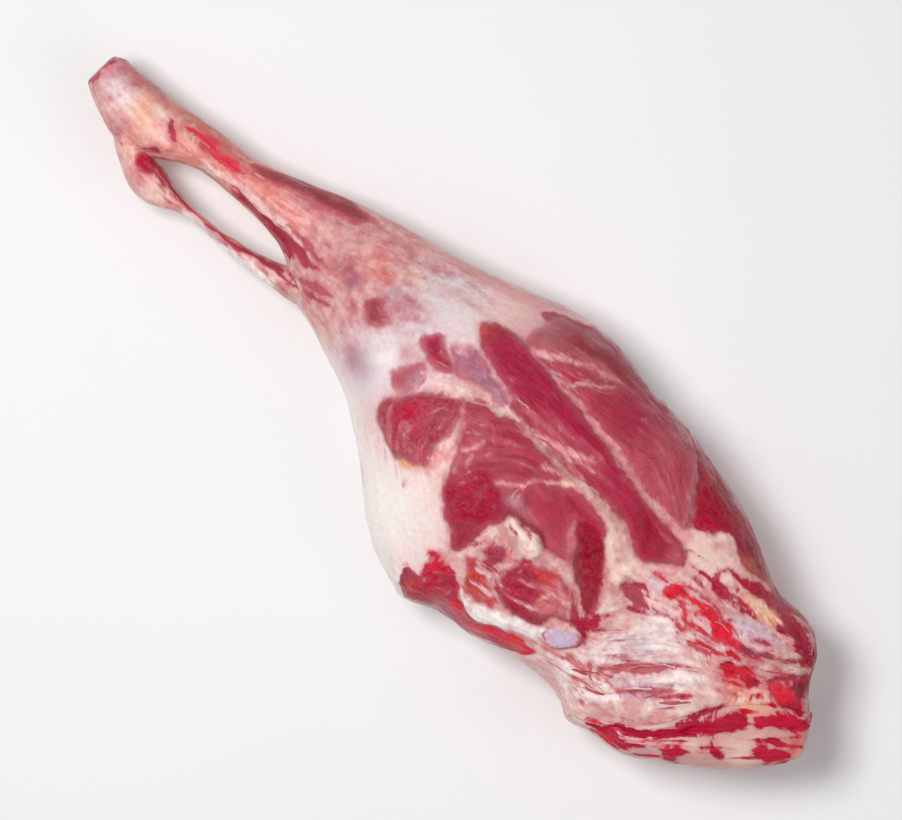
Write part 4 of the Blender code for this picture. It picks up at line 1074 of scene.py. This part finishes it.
def hock_end(skin, points):
    """Paints the sawn end of the shank: a dark skin, pale bone and a reddish middle."""
    size = np.hypot(*((points[:, 1:] - SHANK_BONE) / SHANK_BONE_HALF_SIZE).T)
    on_end = ease(-225.4, -226.2, points[:, 0])[:, None]
    bone = ease(0.95, 0.8, size)[:, None]
    colour = linear("maroon") + bone * (linear("cream") - linear("maroon"))
    colour += ease(0.5, 0.3, size)[:, None] * (linear("orange_red") - colour)
    skin["fat_tint"] += on_end * (colour - skin["fat_tint"])
    skin["lean"] += on_end[:, 0] * (-4 - skin["lean"])


def hollows(relief):
    """How much of a hollow each grid point is in, 0 to 1: how far it lies under its surroundings. The
    finishes darken the colour by it, as painted shade.
    """
    smooth = softened(relief, 3)
    return np.clip((softened(smooth, 14) - smooth - 0.12) / 1.0, 0, 1)


def spine_cover(points):
    """How much of each point the sawn backbone lies over: 1 past its border, 0 inside the face."""
    border = bend(SPINE_BORDER, closed=False)
    x, y, z = points.T
    beyond = np.interp(x, border[:, 0], border[:, 1], left=-200) - y
    return ease(1.0, 3.5, beyond) * ease(40, 44, z)


def sink(points):
    """How far the bare surface lies under the CAD's: nothing low on the walls, all of it on top."""
    return BASE_SINK * ease(30, 75, points[:, 2])


def leg_relief(points, drawn):
    """How far the meat stands out at points: the map's relief, the fell's lumps and, in the pelvis,
    ridges of stringy tissue."""
    ridges = turned(points[:, :2], -STRING_TURN) / STRING_CELL
    stringy = rumple(np.column_stack([ridges, points[:, 2] / 8]), 1, 51)
    far = np.hypot(*((points[:, :2] - PELVIS) / PELVIS_REACH).T)
    ridged = STRING_RISE * stringy * ease(1.2, 0.8, far)
    return drawn + layered(points, FELL_LUMPS, 61) + ridged - sink(points)


def leg_meat(finish):
    """The whole leg of meat: rings along it, pushed out along their normals by its relief."""
    x = stations(ALONG)[:, None]
    rings, poles = close_ends(leg_surface(x, spread_angles(x)), HOCK_BULGE)
    shape = rings.shape[:2]
    points = np.vstack([rings.reshape(-1, 3), poles])
    skin = draw_skin(points, *map_place(points))
    hock_end(skin, points)
    relief = leg_relief(points, skin.pop("relief")) - SPINE_SINK * spine_cover(points)
    grid = (relief * ease(0.5, 5, points[:, 2]))[:-2].reshape(shape)
    skin["hollow"] = np.append(hollows(grid).ravel(), (0, 0))
    pushed = rings + outward(rings) * softened(grid, 1)[..., None]
    pushed[..., 2] = np.maximum(pushed[..., 2], 0)
    leg = capped_tube("leg_meat", pushed, poles, skin, finish)
    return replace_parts(leg, "leg")


def heel_tendon(finish):
    """The heel and the tendon from it to the calf: an ellipse carried along a line, with its two
    ends inside the leg."""
    line = np.array(HEEL_TENDON)
    x = np.linspace(line[0, 0], line[-1, 0], TENDON_RINGS)[:, None]
    y, z, half_width, half_height = (follow(line[:, [0, k]], x) for k in range(1, 5))
    angle = np.linspace(0, 2 * math.pi, TENDON_SIDES, endpoint=False)[None, :]
    rise = half_height * np.sin(angle)
    rings = np.stack(np.broadcast_arrays(x, y + half_width * np.cos(angle), z + rise), axis=-1)
    rings, poles = close_ends(rings, 0.5)
    shape = rings.shape[:2]
    points = np.vstack([rings.reshape(-1, 3), poles])
    middle = follow(line[:, [0, 2]], points[:, 0])
    skin = draw_skin(points, points[:, :2], middle + 2 - points[:, 2])
    grid = (skin.pop("relief") + layered(points, FELL_LUMPS[1:], 71))[:-2].reshape(shape)
    skin["hollow"] = np.append(hollows(grid).ravel(), (0, 0))
    pushed = rings + outward(rings) * softened(grid, 1)[..., None]
    tendon = capped_tube("heel_tendon", pushed, poles, skin, finish)
    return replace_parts(tendon, "leg")


SPINE_START = 137.6        # where the spine's border enters the leg
SPINE_ROWS = 230
SPINE_COLUMNS = 140
SPINE_FLOOR = 41.5         # height of the sawn spine's lower edge on the outer wall
SPINE_WAVE = 3.0           # how far that edge wanders up and down
SPINE_PROUD = 0.7          # how far the sawn bone stands out over the meat
SPINE_TUCK = 2.3           # how far its edges are tucked in
SPINE_THICK = 5.0


def floor_angle(x):
    """Direction in which the ring at x reaches the sawn spine's lower edge, on the knee side."""
    widest = follow(WIDEST, x)
    height = SPINE_FLOOR + SPINE_WAVE * rumple(np.stack([x, 0 * x, 0 * x], axis=-1), 17, 82)
    rise = np.clip((height - widest) / (follow(TOP, x) - widest), 0, 1)
    return np.arctan2(rise, other_leg(rise, follow(TOP_SQUARENESS, x)))


def spine_lift(base):
    """How far the sawn face stands over the leg's surface, and how far it is tucked under it along
    its two long edges."""
    walked = np.cumsum(np.linalg.norm(np.diff(base, axis=1), axis=-1), axis=1)
    walked = np.pad(walked, ((0, 0), (1, 0)))
    edge = np.minimum(walked, walked[:, -1:] - walked)
    return SPINE_PROUD - SPINE_TUCK * ease(1.8, 0, edge)


def sawn_backbone(finish):
    """The halved vertebrae: the leg's own surface between the spine's border and its lower edge,
    standing proud of the meat, with its edges tucked in, and a few millimetres thick."""
    x = np.linspace(SPINE_START, LENGTH / 2, SPINE_ROWS)
    border = bend(SPINE_BORDER, closed=False)
    y = np.interp(x, border[:, 0], border[:, 1])
    low = floor_angle(x)
    start = np.maximum(low, ring_angle(x, y))[:, None]
    share = np.linspace(0, 1, SPINE_COLUMNS)[None, :]
    base = leg_surface(x[:, None], start + share * (math.pi - low[:, None] - start))
    points = base.reshape(-1, 3)
    at, drop = map_place(points)
    at[:, 1] -= np.maximum(drop, 0)
    skin = draw_skin(points, at, np.minimum(drop, 0))
    grid = skin.pop("relief") + layered(points, FELL_LUMPS[1:], 81) - sink(points)
    grid = grid.reshape(base.shape[:2])
    skin["hollow"] = hollows(grid).ravel()
    normal = outward(base, wraps=False)
    outer = base + normal * (softened(grid, 1) + spine_lift(base))[..., None]
    inner = base - normal * SPINE_THICK
    both = {field: np.concatenate([values, values]) for field, values in skin.items()}
    bone = shell("sawn_backbone", outer, inner, both, finish)
    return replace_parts(bone, "backbone")


# Loose threads of torn tissue: x, y, reach along and across the fibres, how many, how long, half
# their width, kind and tone.
THREADS = [
    (142, -24, 16, 12, 6, 20, 0.4, "fat", "pale_pink"),
    (138, -26, 16, 12, 4, 18, 0.4, "lean", "coral"), (152, -28, 12, 10, 3, 18, 0.4, "lean", "rose"),
    (128, -48, 12, 6, 4, 14, 0.4, "fat", "pink"),
    (124, -44, 9, 6, 3, 12, 0.4, "lean", "orange_red"),
    (150, 8, 14, 6, 4, 16, 0.35, "fat", "coral"), (40, 20, 24, 4, 6, 24, 0.3, "fat", "rose"),
    (24, 52, 14, 5, 4, 20, 0.3, "fat", "rose"),
]
THREAD_RINGS = 26
THREAD_SIDES = 8
THREAD_SEED = 5


def walk_threads(rng, x, y, along, across, count, length):
    """Paths that begin at random about a place and follow the fibres with a slight waver."""
    turn = flow_angle(np.array([[x, y]], float))[0]
    place = turned(rng.normal(size=(count, 2)) * (0.6 * along, 0.6 * across), turn) + (x, y)
    stride = length * rng.uniform(0.6, 1.3, count) / THREAD_RINGS
    path = []
    for _ in range(THREAD_RINGS):
        path.append(place)
        waver = 0.5 * rumple(np.column_stack([place, np.arange(count) * 9.0]), 7, 53)
        angle = flow_angle(place) + waver
        place = place + stride[:, None] * np.stack([np.cos(angle), np.sin(angle)], axis=-1)
    return np.stack(path, axis=1)


def lay_on_face(path):
    """Points of the inner face under (x, y) places, on the relief of the meat or the sawn bone."""
    x, y = path[..., 0].ravel(), path[..., 1].ravel()
    base = leg_surface(x, ring_angle(x, y))
    at, drop = map_place(base)
    relief = leg_relief(base, draw_skin(base, at, np.minimum(drop, 0))["relief"])
    base[:, 2] += relief + SPINE_PROUD * spine_cover(base)
    return base.reshape(*path.shape[:2], 3)


def thread_rings(line, half):
    """Rings along each thread: a flat ellipse square to its line, that shrinks to nothing and sinks
    into the meat at both ends."""
    t = np.linspace(-1, 1, THREAD_RINGS)[None, :, None]
    size = half[:, None, None] * (1.04 - np.abs(t) ** 3) ** 0.5
    line = line + np.array([0, 0, 1]) * (0.1 * size - 0.9 * np.abs(t) ** 4)
    ahead = np.gradient(line, axis=1)
    aside = np.cross([0, 0, 1], ahead)
    aside /= np.linalg.norm(aside, axis=-1, keepdims=True)
    angle = np.linspace(0, 2 * math.pi, THREAD_SIDES, endpoint=False)[:, None]
    out = np.cos(angle) * aside[:, :, None] * 1.2 + np.sin(angle) * np.array([0, 0, 0.75])
    return line, line[:, :, None] + size[..., None] * out


def drawn_threads():
    """Each thread's path, half width, lean field and tone, all from one run of random draws."""
    rng = np.random.default_rng(THREAD_SEED)
    paths, halves, kinds, tones = [], [], [], []
    for x, y, along, across, count, length, half, kind, tone in THREADS:
        paths.append(walk_threads(rng, x, y, along, across, count, length))
        halves.append(half * rng.uniform(0.6, 1.25, count))
        kinds.append(np.full(count, 8.0 if kind == "lean" else -8.0))
        tones.append(linear(tone) * rng.uniform(0.85, 1.1, (count, 1)))
    return [np.concatenate(part) for part in (paths, halves, kinds, tones)]


def loose_threads(finish):
    """Threads of torn tissue on the inner face, each a closed tube of its own tone."""
    paths, halves, kinds, tones = drawn_threads()
    line, rings = thread_rings(lay_on_face(paths), halves)
    count, each = len(line), THREAD_RINGS * THREAD_SIDES
    points = np.concatenate([rings.reshape(count, each, 3), line[:, :1], line[:, -1:]], axis=1)
    start = (np.arange(count) * (each + 2))[:, None, None]
    ring = np.arange(THREAD_SIDES)
    faces = [(part + start).reshape(-1, part.shape[1]) for part in (
        quads(THREAD_RINGS, THREAD_SIDES, wraps=True), fan(each, ring, True),
        fan(each + 1, ring + each - THREAD_SIDES, False))]
    points = points.reshape(-1, 3)
    flat = np.zeros(len(points))
    tone = np.repeat(tones, each + 2, axis=0)
    skin = {"lean": np.repeat(kinds, each + 2), "cut": flat, "blur": flat + PLAIN_BLUR, "torn": flat,
            "streak": flat, "smooth": flat, "hollow": flat, "lean_tint": tone, "fat_tint": tone,
            "fibre_place": fibre_place(points)}
    return build("loose_threads", points, faces, skin, finish)


HIP_PROFILE = [
    (0.80, -12), (0.92, -5), (1.0, -1.6), (0.99, -0.9), (0.95, -0.35), (0.88, 0.05), (0.78, 0.3),
    (0.66, 0.45), (0.52, 0.45), (0.38, 0.35), (0.24, 0.25), (0.1, 0.2),
]
HIP_SIDES = 96


def hip_bone_end(finish):
    """The hip bone's cut end: an uneven oval carried up a profile of sizes and heights, slightly
    dished."""
    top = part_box("hip_bone")[1].z / MM - BASE_SINK
    profile = bend(HIP_PROFILE, closed=False, steps=4)
    size, height = profile[:, :1], profile[:, 1:]
    angle = np.linspace(0, 2 * math.pi, HIP_SIDES, endpoint=False)[None, :]
    oval = np.stack([HIP_HALF_SIZE[0] * size * np.cos(angle), HIP_HALF_SIZE[1] * size * np.sin(angle)],
                    axis=-1)
    around = np.stack([np.cos(angle), np.sin(angle), 0 * angle], axis=-1)
    plan = turned(oval * (1 + 0.26 * rumple(around, 0.8, 92)[..., None]), HIP_TURN) + HIP_CENTRE
    rings = np.dstack([plan, np.broadcast_to(height + top, oval.shape[:2])])
    poles = np.array([(*HIP_CENTRE, top + HIP_PROFILE[0][1]), (*HIP_CENTRE, top + HIP_PROFILE[-1][1])])
    points = rings.reshape(-1, 3)
    points[:, 2] += layered(points, ((5.0, 0.6), (1.8, 0.16)), 91)
    rim = np.append(np.broadcast_to(size, oval.shape[:2]).ravel(), (1, 0))
    end = capped_tube("hip_bone_end", points.reshape(rings.shape), poles, {"rim": rim}, finish)
    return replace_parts(end, "hip_bone")


# --------------------------------------------------------------------------------------- finishes

FINE = 1 / MM              # noise scale for cells of one millimetre
BLOOD_AND_SHADE_TINT = (0.52, 0.2, 0.24)             # what blood, and the painted shade in a crevice, leave of the colour
CREVICE_SHADE_SHARE = 0.7        # how much painted shade darkens the deepest crevice
LEAN_LIGHT = (0.28, 0.6)   # how strongly the fibres shade it, along the face and cut across


def put(tree, kind, inputs, **settings):
    """Adds a node with its settings, and links or sets each of the named inputs."""
    node = tree.nodes.new("ShaderNode" + kind)
    for name, value in settings.items():
        setattr(node, name, value)
    for key, value in inputs.items():
        if isinstance(value, bpy.types.NodeSocket):
            tree.links.new(value, node.inputs[key])
        else:
            node.inputs[key].default_value = value
    return node


def number(tree, operation, *values, clamp=False):
    """A Math node's result."""
    return put(tree, "Math", dict(enumerate(values)), operation=operation, use_clamp=clamp).outputs[0]


def times(tree, first, second):
    """Product of two values."""
    return number(tree, "MULTIPLY", first, second)


def added(tree, value, factor, more):
    """A value multiplied by a factor, and more added to it."""
    return number(tree, "MULTIPLY_ADD", value, factor, more)


def step(tree, value, low, high, start=0.0, end=1.0):
    """Smooth step of a value between low and high, from start to end."""
    inputs = {"Value": value, "From Min": low, "From Max": high, "To Min": start, "To Max": end}
    return put(tree, "MapRange", inputs, interpolation_type="SMOOTHSTEP").outputs[0]


def scale_to(tree, value, low, high):
    """A value from 0 to 1 spread from low to high."""
    return put(tree, "MapRange", {"Value": value, "To Min": low, "To Max": high}).outputs[0]


def mixed(tree, share, first, second):
    """Colour between first and second."""
    return put(tree, "Mix", {0: share, 6: first, 7: second}, data_type="RGBA").outputs[2]


def shaded(tree, colour, value):
    """Colour made lighter or darker by a value near 1."""
    return put(tree, "VectorMath", {0: colour, "Scale": value}, operation="SCALE").outputs[0]


def stained(tree, colour, tint):
    """Colour seen through a clear tint."""
    return put(tree, "VectorMath", {0: colour, 1: tint}, operation="MULTIPLY").outputs[0]


def darkened_by_blood_and_shade(tree, colour, share):
    """Colour darkened by a clear blood-red tint over a share of it: real blood in the lean's bloody
    patches, and painted shade in the hollows.
    """
    return mixed(tree, share, colour, stained(tree, colour, BLOOD_AND_SHADE_TINT))


def painted_crevice_shade(tree, colour):
    """Colour with painted shade in the piece's hollows: darkened by the blood-red tint as far as its
    hollow field reaches.
    """
    return darkened_by_blood_and_shade(tree, colour, times(tree, field(tree, "hollow"), CREVICE_SHADE_SHARE))


def grain(tree, vector, size, detail=2.0, roughness=0.55, distortion=0.0):
    """Noise from 0 to 1 with features of that size in millimetres."""
    inputs = {"Vector": vector, "Scale": FINE / size, "Detail": detail, "Roughness": roughness,
              "Distortion": distortion}
    return put(tree, "TexNoise", inputs).outputs["Fac"]


def drawn_out(tree, along, share):
    """The place along the fibres, shortened to a share, which makes noise there that much longer."""
    return put(tree, "Mapping", {"Vector": along, "Scale": (share, 1, 1)}).outputs[0]


def field(tree, name, output="Fac"):
    """A point attribute of the piece."""
    return put(tree, "Attribute", {}, attribute_name=name).outputs[output]


def rgba(name):
    """A tone of the palette for a colour socket."""
    return (*linear(name), 1)


def group(name, inputs, outputs, wire):
    """Node group with float or vector inputs and float outputs, filled in by wire."""
    made = bpy.data.node_groups.new(name, "ShaderNodeTree")
    for socket, kind in inputs.items():
        made.interface.new_socket(socket, in_out="INPUT", socket_type="NodeSocket" + kind)
    for socket in outputs:
        made.interface.new_socket(socket, in_out="OUTPUT", socket_type="NodeSocketFloat")
    entry, leave = made.nodes.new("NodeGroupInput"), made.nodes.new("NodeGroupOutput")
    results = wire(made, *entry.outputs[:len(inputs)])
    for result, socket in zip(results, leave.inputs):
        made.links.new(result, socket)
    return made


def use(tree, made, *values):
    """Places a group and returns its outputs."""
    return put(tree, "Group", dict(enumerate(values)), node_tree=made).outputs


def wire_ragged_edge(tree, place, along, depth, blur, torn):
    """Share of lean at a depth within its outline. Its edge wanders by half a millimetre, runs out in
    threads along the fibres where the tissue is torn, and is as soft as blur says."""
    coarse, fine = grain(tree, place, 3.2, 3.0), grain(tree, place, 0.9, 2.0)
    threads = number(tree, "SUBTRACT", grain(tree, drawn_out(tree, along, 0.11), 1.5, 2.5, 0.55), 0.5)
    wander = added(tree, coarse, 2.2, -1.1)
    wander = added(tree, fine, 1.0, wander)
    moved = number(tree, "ADD", depth, number(tree, "SUBTRACT", wander, 0.5))
    moved = added(tree, threads, added(tree, torn, 3.5, 1.0), moved)
    half = number(tree, "ADD", blur, 0.12)
    return step(tree, moved, times(tree, half, -1), half), moved, threads


def wire_fibres(tree, along, place, cut):
    """Muscle fibres: long streaks where they lie along the face, and short grains where it is cut
    across them. Puts out the fibres, and the pale tissue between their bundles."""
    streak = grain(tree, drawn_out(tree, along, 0.09), 1.0, 3.0, 0.6, 0.2)
    grainy = grain(tree, place, 1.7, 4.0, 0.65, 0.3)
    fibre = step(tree, scale_mix(tree, cut, streak, grainy), 0.3, 0.7)
    bundles = grain(tree, drawn_out(tree, along, 0.16), 2.3, 3.0, 0.55, 0.3)
    seams = step(tree, bundles, 0.56, 0.74)
    islands = step(tree, grain(tree, place, 3.4, 3.0, 0.6, 0.6), 0.55, 0.75)
    patchy = step(tree, grain(tree, place, 12), 0.38, 0.66)
    return fibre, times(tree, scale_mix(tree, cut, seams, islands), patchy)


def scale_mix(tree, share, first, second):
    """Value between first and second."""
    return put(tree, "Mix", {0: share, 2: first, 3: second}, data_type="FLOAT").outputs[0]


def wire_wet_film(tree, place):
    """Where the moist film lies thicker, and its fine unevenness."""
    pools = step(tree, grain(tree, place, 13, 3.0), 0.36, 0.66)
    return pools, step(tree, grain(tree, place, 2.4, 4.0, 0.62), 0.3, 0.7)


def wire_pebbles(tree, place):
    """Fat's small soft lobes, and a broader mottling."""
    cells = put(tree, "TexVoronoi", {"Vector": place, "Scale": FINE / 2.6, "Smoothness": 0.8},
                feature="SMOOTH_F1").outputs["Distance"]
    return number(tree, "SUBTRACT", 1.0, cells), grain(tree, place, 6.5, 4.0, 0.6)


def new_finish(name, roughness, subsurface, coat_roughness):
    """Material with a Principled shader whose constants are set."""
    made = bpy.data.materials.new(name)
    made.use_nodes = True
    shader = made.node_tree.nodes["Principled BSDF"]
    constants = {
        "Roughness": roughness, "IOR": 1.42, "Specular IOR Level": 0.2, "Subsurface Weight": subsurface,
        "Subsurface Radius": (1.0, 0.3, 0.22), "Subsurface Scale": 0.0035,
        "Coat Roughness": coat_roughness, "Coat IOR": 1.33,
    }
    for socket, value in constants.items():
        shader.inputs[socket].default_value = value
    return made, made.node_tree, shader


def dress(tree, shader, colour, roughness, coat, height, depth):
    """Feeds a shader what changes over the surface, and a bump whose heights from 0 to 1 stand depth
    millimetres high."""
    bump = put(tree, "Bump", {"Height": height, "Distance": depth * MM, "Strength": 1.0}).outputs[0]
    fed = {"Base Color": colour, "Roughness": roughness, "Coat Weight": coat, "Normal": bump}
    for socket, value in fed.items():
        tree.links.new(value, shader.inputs[socket])


def object_place(tree):
    """The place on the piece, in metres."""
    return put(tree, "TexCoord", {}).outputs["Object"]


def lean_colour(tree, fibre, tissue, mottle, streak, depth, cut):
    """The muscle's own tint, shaded by its fibres, with bloody and paler patches, a rosy rim and the
    pale tissue between its bundles."""
    light = added(tree, number(tree, "SUBTRACT", fibre, 0.5), scale_mix(tree, cut, *LEAN_LIGHT), 1.0)
    lean = shaded(tree, field(tree, "lean_tint", "Color"), light)
    lean = shaded(tree, lean, scale_to(tree, mottle, 0.5, 1.5))
    lean = shaded(tree, lean, added(tree, streak, 0.11, 1.0))
    bloody = times(tree, step(tree, mottle, 0.52, 0.68), scale_to(tree, cut, 0.15, 0.7))
    lean = darkened_by_blood_and_shade(tree, lean, bloody)
    paler = times(tree, step(tree, mottle, 0.48, 0.34), scale_to(tree, cut, 0.1, 0.28))
    lean = mixed(tree, paler, lean, rgba("rose"))
    rim = times(tree, step(tree, depth, 4.5, 0.2), scale_mix(tree, cut, 0.4, 0.1))
    lean = mixed(tree, rim, lean, rgba("rose"))
    marbled = times(tree, tissue, scale_mix(tree, cut, 0.3, 0.4))
    return mixed(tree, marbled, lean, mixed(tree, cut, rgba("mauve"), rgba("rose")))


def fat_colour(tree, film, lobes, mottle, streak, depth, threads, torn):
    """The fat's own tint, uneven except where it is smooth: rosy and bare white patches, and where
    the tissue is torn, shaded threads and red veins. It blushes next to the lean."""
    fat = shaded(tree, field(tree, "fat_tint", "Color"), scale_to(tree, lobes, 0.94, 1.05))
    fat = shaded(tree, fat, added(tree, streak, 0.12, 1.0))
    uneven = number(tree, "SUBTRACT", 1.0, field(tree, "smooth"))
    fat = mixed(tree, uneven, fat, shaded(tree, fat, scale_to(tree, film, 0.88, 1.08)))
    rosy = times(tree, step(tree, mottle, 0.44, 0.66), scale_to(tree, torn, 0.2, 0.5))
    fat = mixed(tree, times(tree, rosy, uneven), fat, mixed(tree, torn, rgba("rose"), rgba("coral")))
    bare = times(tree, step(tree, mottle, 0.56, 0.36), scale_to(tree, torn, 0.15, 0.38))
    fat = mixed(tree, times(tree, bare, uneven), fat, rgba("white_fat"))
    stringy = times(tree, threads, scale_to(tree, torn, 0.3, 0.8))
    fat = shaded(tree, fat, added(tree, stringy, uneven, 1.0))
    veins = times(tree, step(tree, threads, 0.07, 0.18), scale_to(tree, torn, 0.0, 0.75))
    fat = mixed(tree, veins, fat, rgba("bright_crimson"))
    return mixed(tree, times(tree, step(tree, depth, -2.2, 0.2), 0.52), fat, rgba("rose"))


def raw_meat(groups):
    """Lean and fat in one finish: the lean field parts them, and each has its own tint and grain."""
    made, tree, shader = new_finish("raw_meat", 0.42, 0.2, 0.14)
    place, along = object_place(tree), field(tree, "fibre_place", "Vector")
    torn, cut, streak = (field(tree, name) for name in ("torn", "cut", "streak"))
    is_lean, depth, threads = use(tree, groups["ragged_edge"], place, along, field(tree, "lean"),
                                  field(tree, "blur"), torn)[:3]
    fibre, tissue = use(tree, groups["fibres"], along, place, cut)[:2]
    pools, film = use(tree, groups["wet_film"], place)[:2]
    lobes, mottle = use(tree, groups["pebbles"], place)[:2]

    lean = lean_colour(tree, fibre, tissue, mottle, streak, depth, cut)
    fat = fat_colour(tree, film, lobes, mottle, streak, depth, threads, torn)
    height = scale_mix(tree, is_lean, lobes, scale_to(tree, fibre, 0.25, 0.75))
    height = added(tree, times(tree, threads, torn), 3.0, added(tree, film, 0.5, height))
    # Painted shade: the colour is darkened where the relief lies in a hollow.
    dress(tree, shader, painted_crevice_shade(tree, mixed(tree, is_lean, fat, lean)),
          added(tree, pools, -0.16, scale_mix(tree, is_lean, 0.56, 0.46)),
          scale_to(tree, pools, 0.05, 0.5), height, 0.28)
    return made


def sawn_bone(groups):
    """Sawn vertebrae: red spongy bone where the field is positive, pale disc and gristle elsewhere."""
    made, tree, shader = new_finish("sawn_bone", 0.5, 0.15, 0.25)
    place = object_place(tree)
    is_red, depth = use(tree, groups["ragged_edge"], place, field(tree, "fibre_place", "Vector"),
                        field(tree, "lean"), field(tree, "blur"), field(tree, "torn"))[:2]
    pools, film = use(tree, groups["wet_film"], place)[:2]
    lobes, mottle = use(tree, groups["pebbles"], place)[:2]
    pores = grain(tree, place, 1.1, 3.0, 0.6)

    red = shaded(tree, field(tree, "lean_tint", "Color"), scale_to(tree, pores, 0.6, 1.4))
    pale = shaded(tree, field(tree, "fat_tint", "Color"), scale_to(tree, mottle, 0.8, 1.15))
    pale = mixed(tree, times(tree, step(tree, depth, -2.0, 0.2), 0.45), pale, rgba("rose"))
    # Painted shade: the colour is darkened where the relief lies in a hollow.
    dress(tree, shader, painted_crevice_shade(tree, mixed(tree, is_red, pale, red)),
          added(tree, pools, -0.14, scale_mix(tree, is_red, 0.5, 0.56)),
          scale_to(tree, pools, 0.05, 0.35),
          added(tree, film, 0.4, scale_mix(tree, is_red, lobes, pores)), 0.3)
    return made


def gristle(groups):
    """Smooth bluish cartilage with a redder rim."""
    made, tree, shader = new_finish("gristle", 0.35, 0.25, 0.15)
    place = object_place(tree)
    pools, film = use(tree, groups["wet_film"], place)[:2]
    mottle = use(tree, groups["pebbles"], place)[1]
    colour = mixed(tree, step(tree, mottle, 0.3, 0.66), rgba("blue_white"), rgba("lilac"))
    rim = step(tree, added(tree, film, 0.3, field(tree, "rim")), 0.9, 1.25)
    dress(tree, shader, mixed(tree, rim, colour, rgba("rose")), scale_to(tree, pools, 0.42, 0.3),
          scale_to(tree, pools, 0.2, 0.5), film, 0.2)
    return made


# ------------------------------------------------------------------------------ camera and studio

TURN = math.radians(44.3)  # the leg lies aslant in the picture
LENS = 200                 # millimetres
CAMERA_HEIGHT = 2.36       # metres, as are the places and sizes below
CAMERA_ASIDE = 0.0015      # how far it stands towards the knee side
KEY_FROM = (-0.42, -0.15, 1.28)
KEY_POWER = 12.6           # watts
KEY_SIZE = 0.45
FILL_FROM = (0.9, 0.2, 0.9)
FILL_POWER = 3.2
FILL_SIZE = 1.0
SKY = 0.3                  # how bright the room's plain light is
FLOOR_HALF_SIZE = 3.0
FLOOR_TONE = 0.86
FLOOR_ROUGHNESS = 0.85


def pale_floor():
    """Plain floor at the height the leg rests on."""
    mesh = bpy.data.meshes.new("floor")
    half = FLOOR_HALF_SIZE
    mesh.from_pydata([(-half, -half, 0), (half, -half, 0), (half, half, 0), (-half, half, 0)], [],
                     [(0, 1, 2, 3)])
    finish = bpy.data.materials.new("floor")
    finish.use_nodes = True
    shader = finish.node_tree.nodes["Principled BSDF"]
    shader.inputs["Base Color"].default_value = (FLOOR_TONE,) * 3 + (1,)
    shader.inputs["Roughness"].default_value = FLOOR_ROUGHNESS
    mesh.materials.append(finish)
    floor = bpy.data.objects.new("floor", mesh)
    bpy.context.scene.collection.objects.link(floor)


def soft_light(name, place, power, size):
    """Square light at place that points at the leg."""
    lamp = bpy.data.lights.new(name, "AREA")
    lamp.energy = power
    lamp.size = size
    light = bpy.data.objects.new(name, lamp)
    light.location = place
    light.rotation_euler = (-Vector(place)).to_track_quat("-Z", "Y").to_euler()
    bpy.context.scene.collection.objects.link(light)


def camera():
    """Looks straight down on the leg, turned about the vertical."""
    data = bpy.data.cameras.new("camera")
    data.lens = LENS
    viewer = bpy.data.objects.new("camera", data)
    viewer.location = (0.0, CAMERA_ASIDE, CAMERA_HEIGHT)
    viewer.rotation_euler = (0, 0, TURN)
    bpy.context.scene.collection.objects.link(viewer)
    bpy.context.scene.camera = viewer


def studio():
    """The floor, two soft lights, an even room light and the camera."""
    scene = bpy.context.scene
    scene.view_settings.view_transform = "Standard"
    scene.world = bpy.data.worlds.new("studio")
    scene.world.use_nodes = True
    scene.world.node_tree.nodes["Background"].inputs["Color"].default_value = (SKY,) * 3 + (1,)
    pale_floor()
    soft_light("key", KEY_FROM, KEY_POWER, KEY_SIZE)
    soft_light("fill", FILL_FROM, FILL_POWER, FILL_SIZE)
    camera()


def shared_effects():
    """The node groups that the finishes use: each one's inputs, its outputs and what wires it."""
    plans = {
        "ragged_edge": ({"Place": "Vector", "Along": "Vector", "Depth": "Float", "Blur": "Float",
                         "Torn": "Float"}, ("Share", "Depth", "Threads"), wire_ragged_edge),
        "fibres": ({"Along": "Vector", "Place": "Vector", "Cut": "Float"}, ("Fibre", "Tissue"),
                   wire_fibres),
        "wet_film": ({"Place": "Vector"}, ("Pools", "Film"), wire_wet_film),
        "pebbles": ({"Place": "Vector"}, ("Lobes", "Mottle"), wire_pebbles),
    }
    return {name: group(name, *plan) for name, plan in plans.items()}


def main():
    """Makes the finishes and every piece, and then the studio."""
    groups = shared_effects()
    meat = raw_meat(groups)
    leg_meat(meat)
    heel_tendon(meat)
    loose_threads(meat)
    sawn_backbone(sawn_bone(groups))
    hip_bone_end(gristle(groups))
    studio()


main()
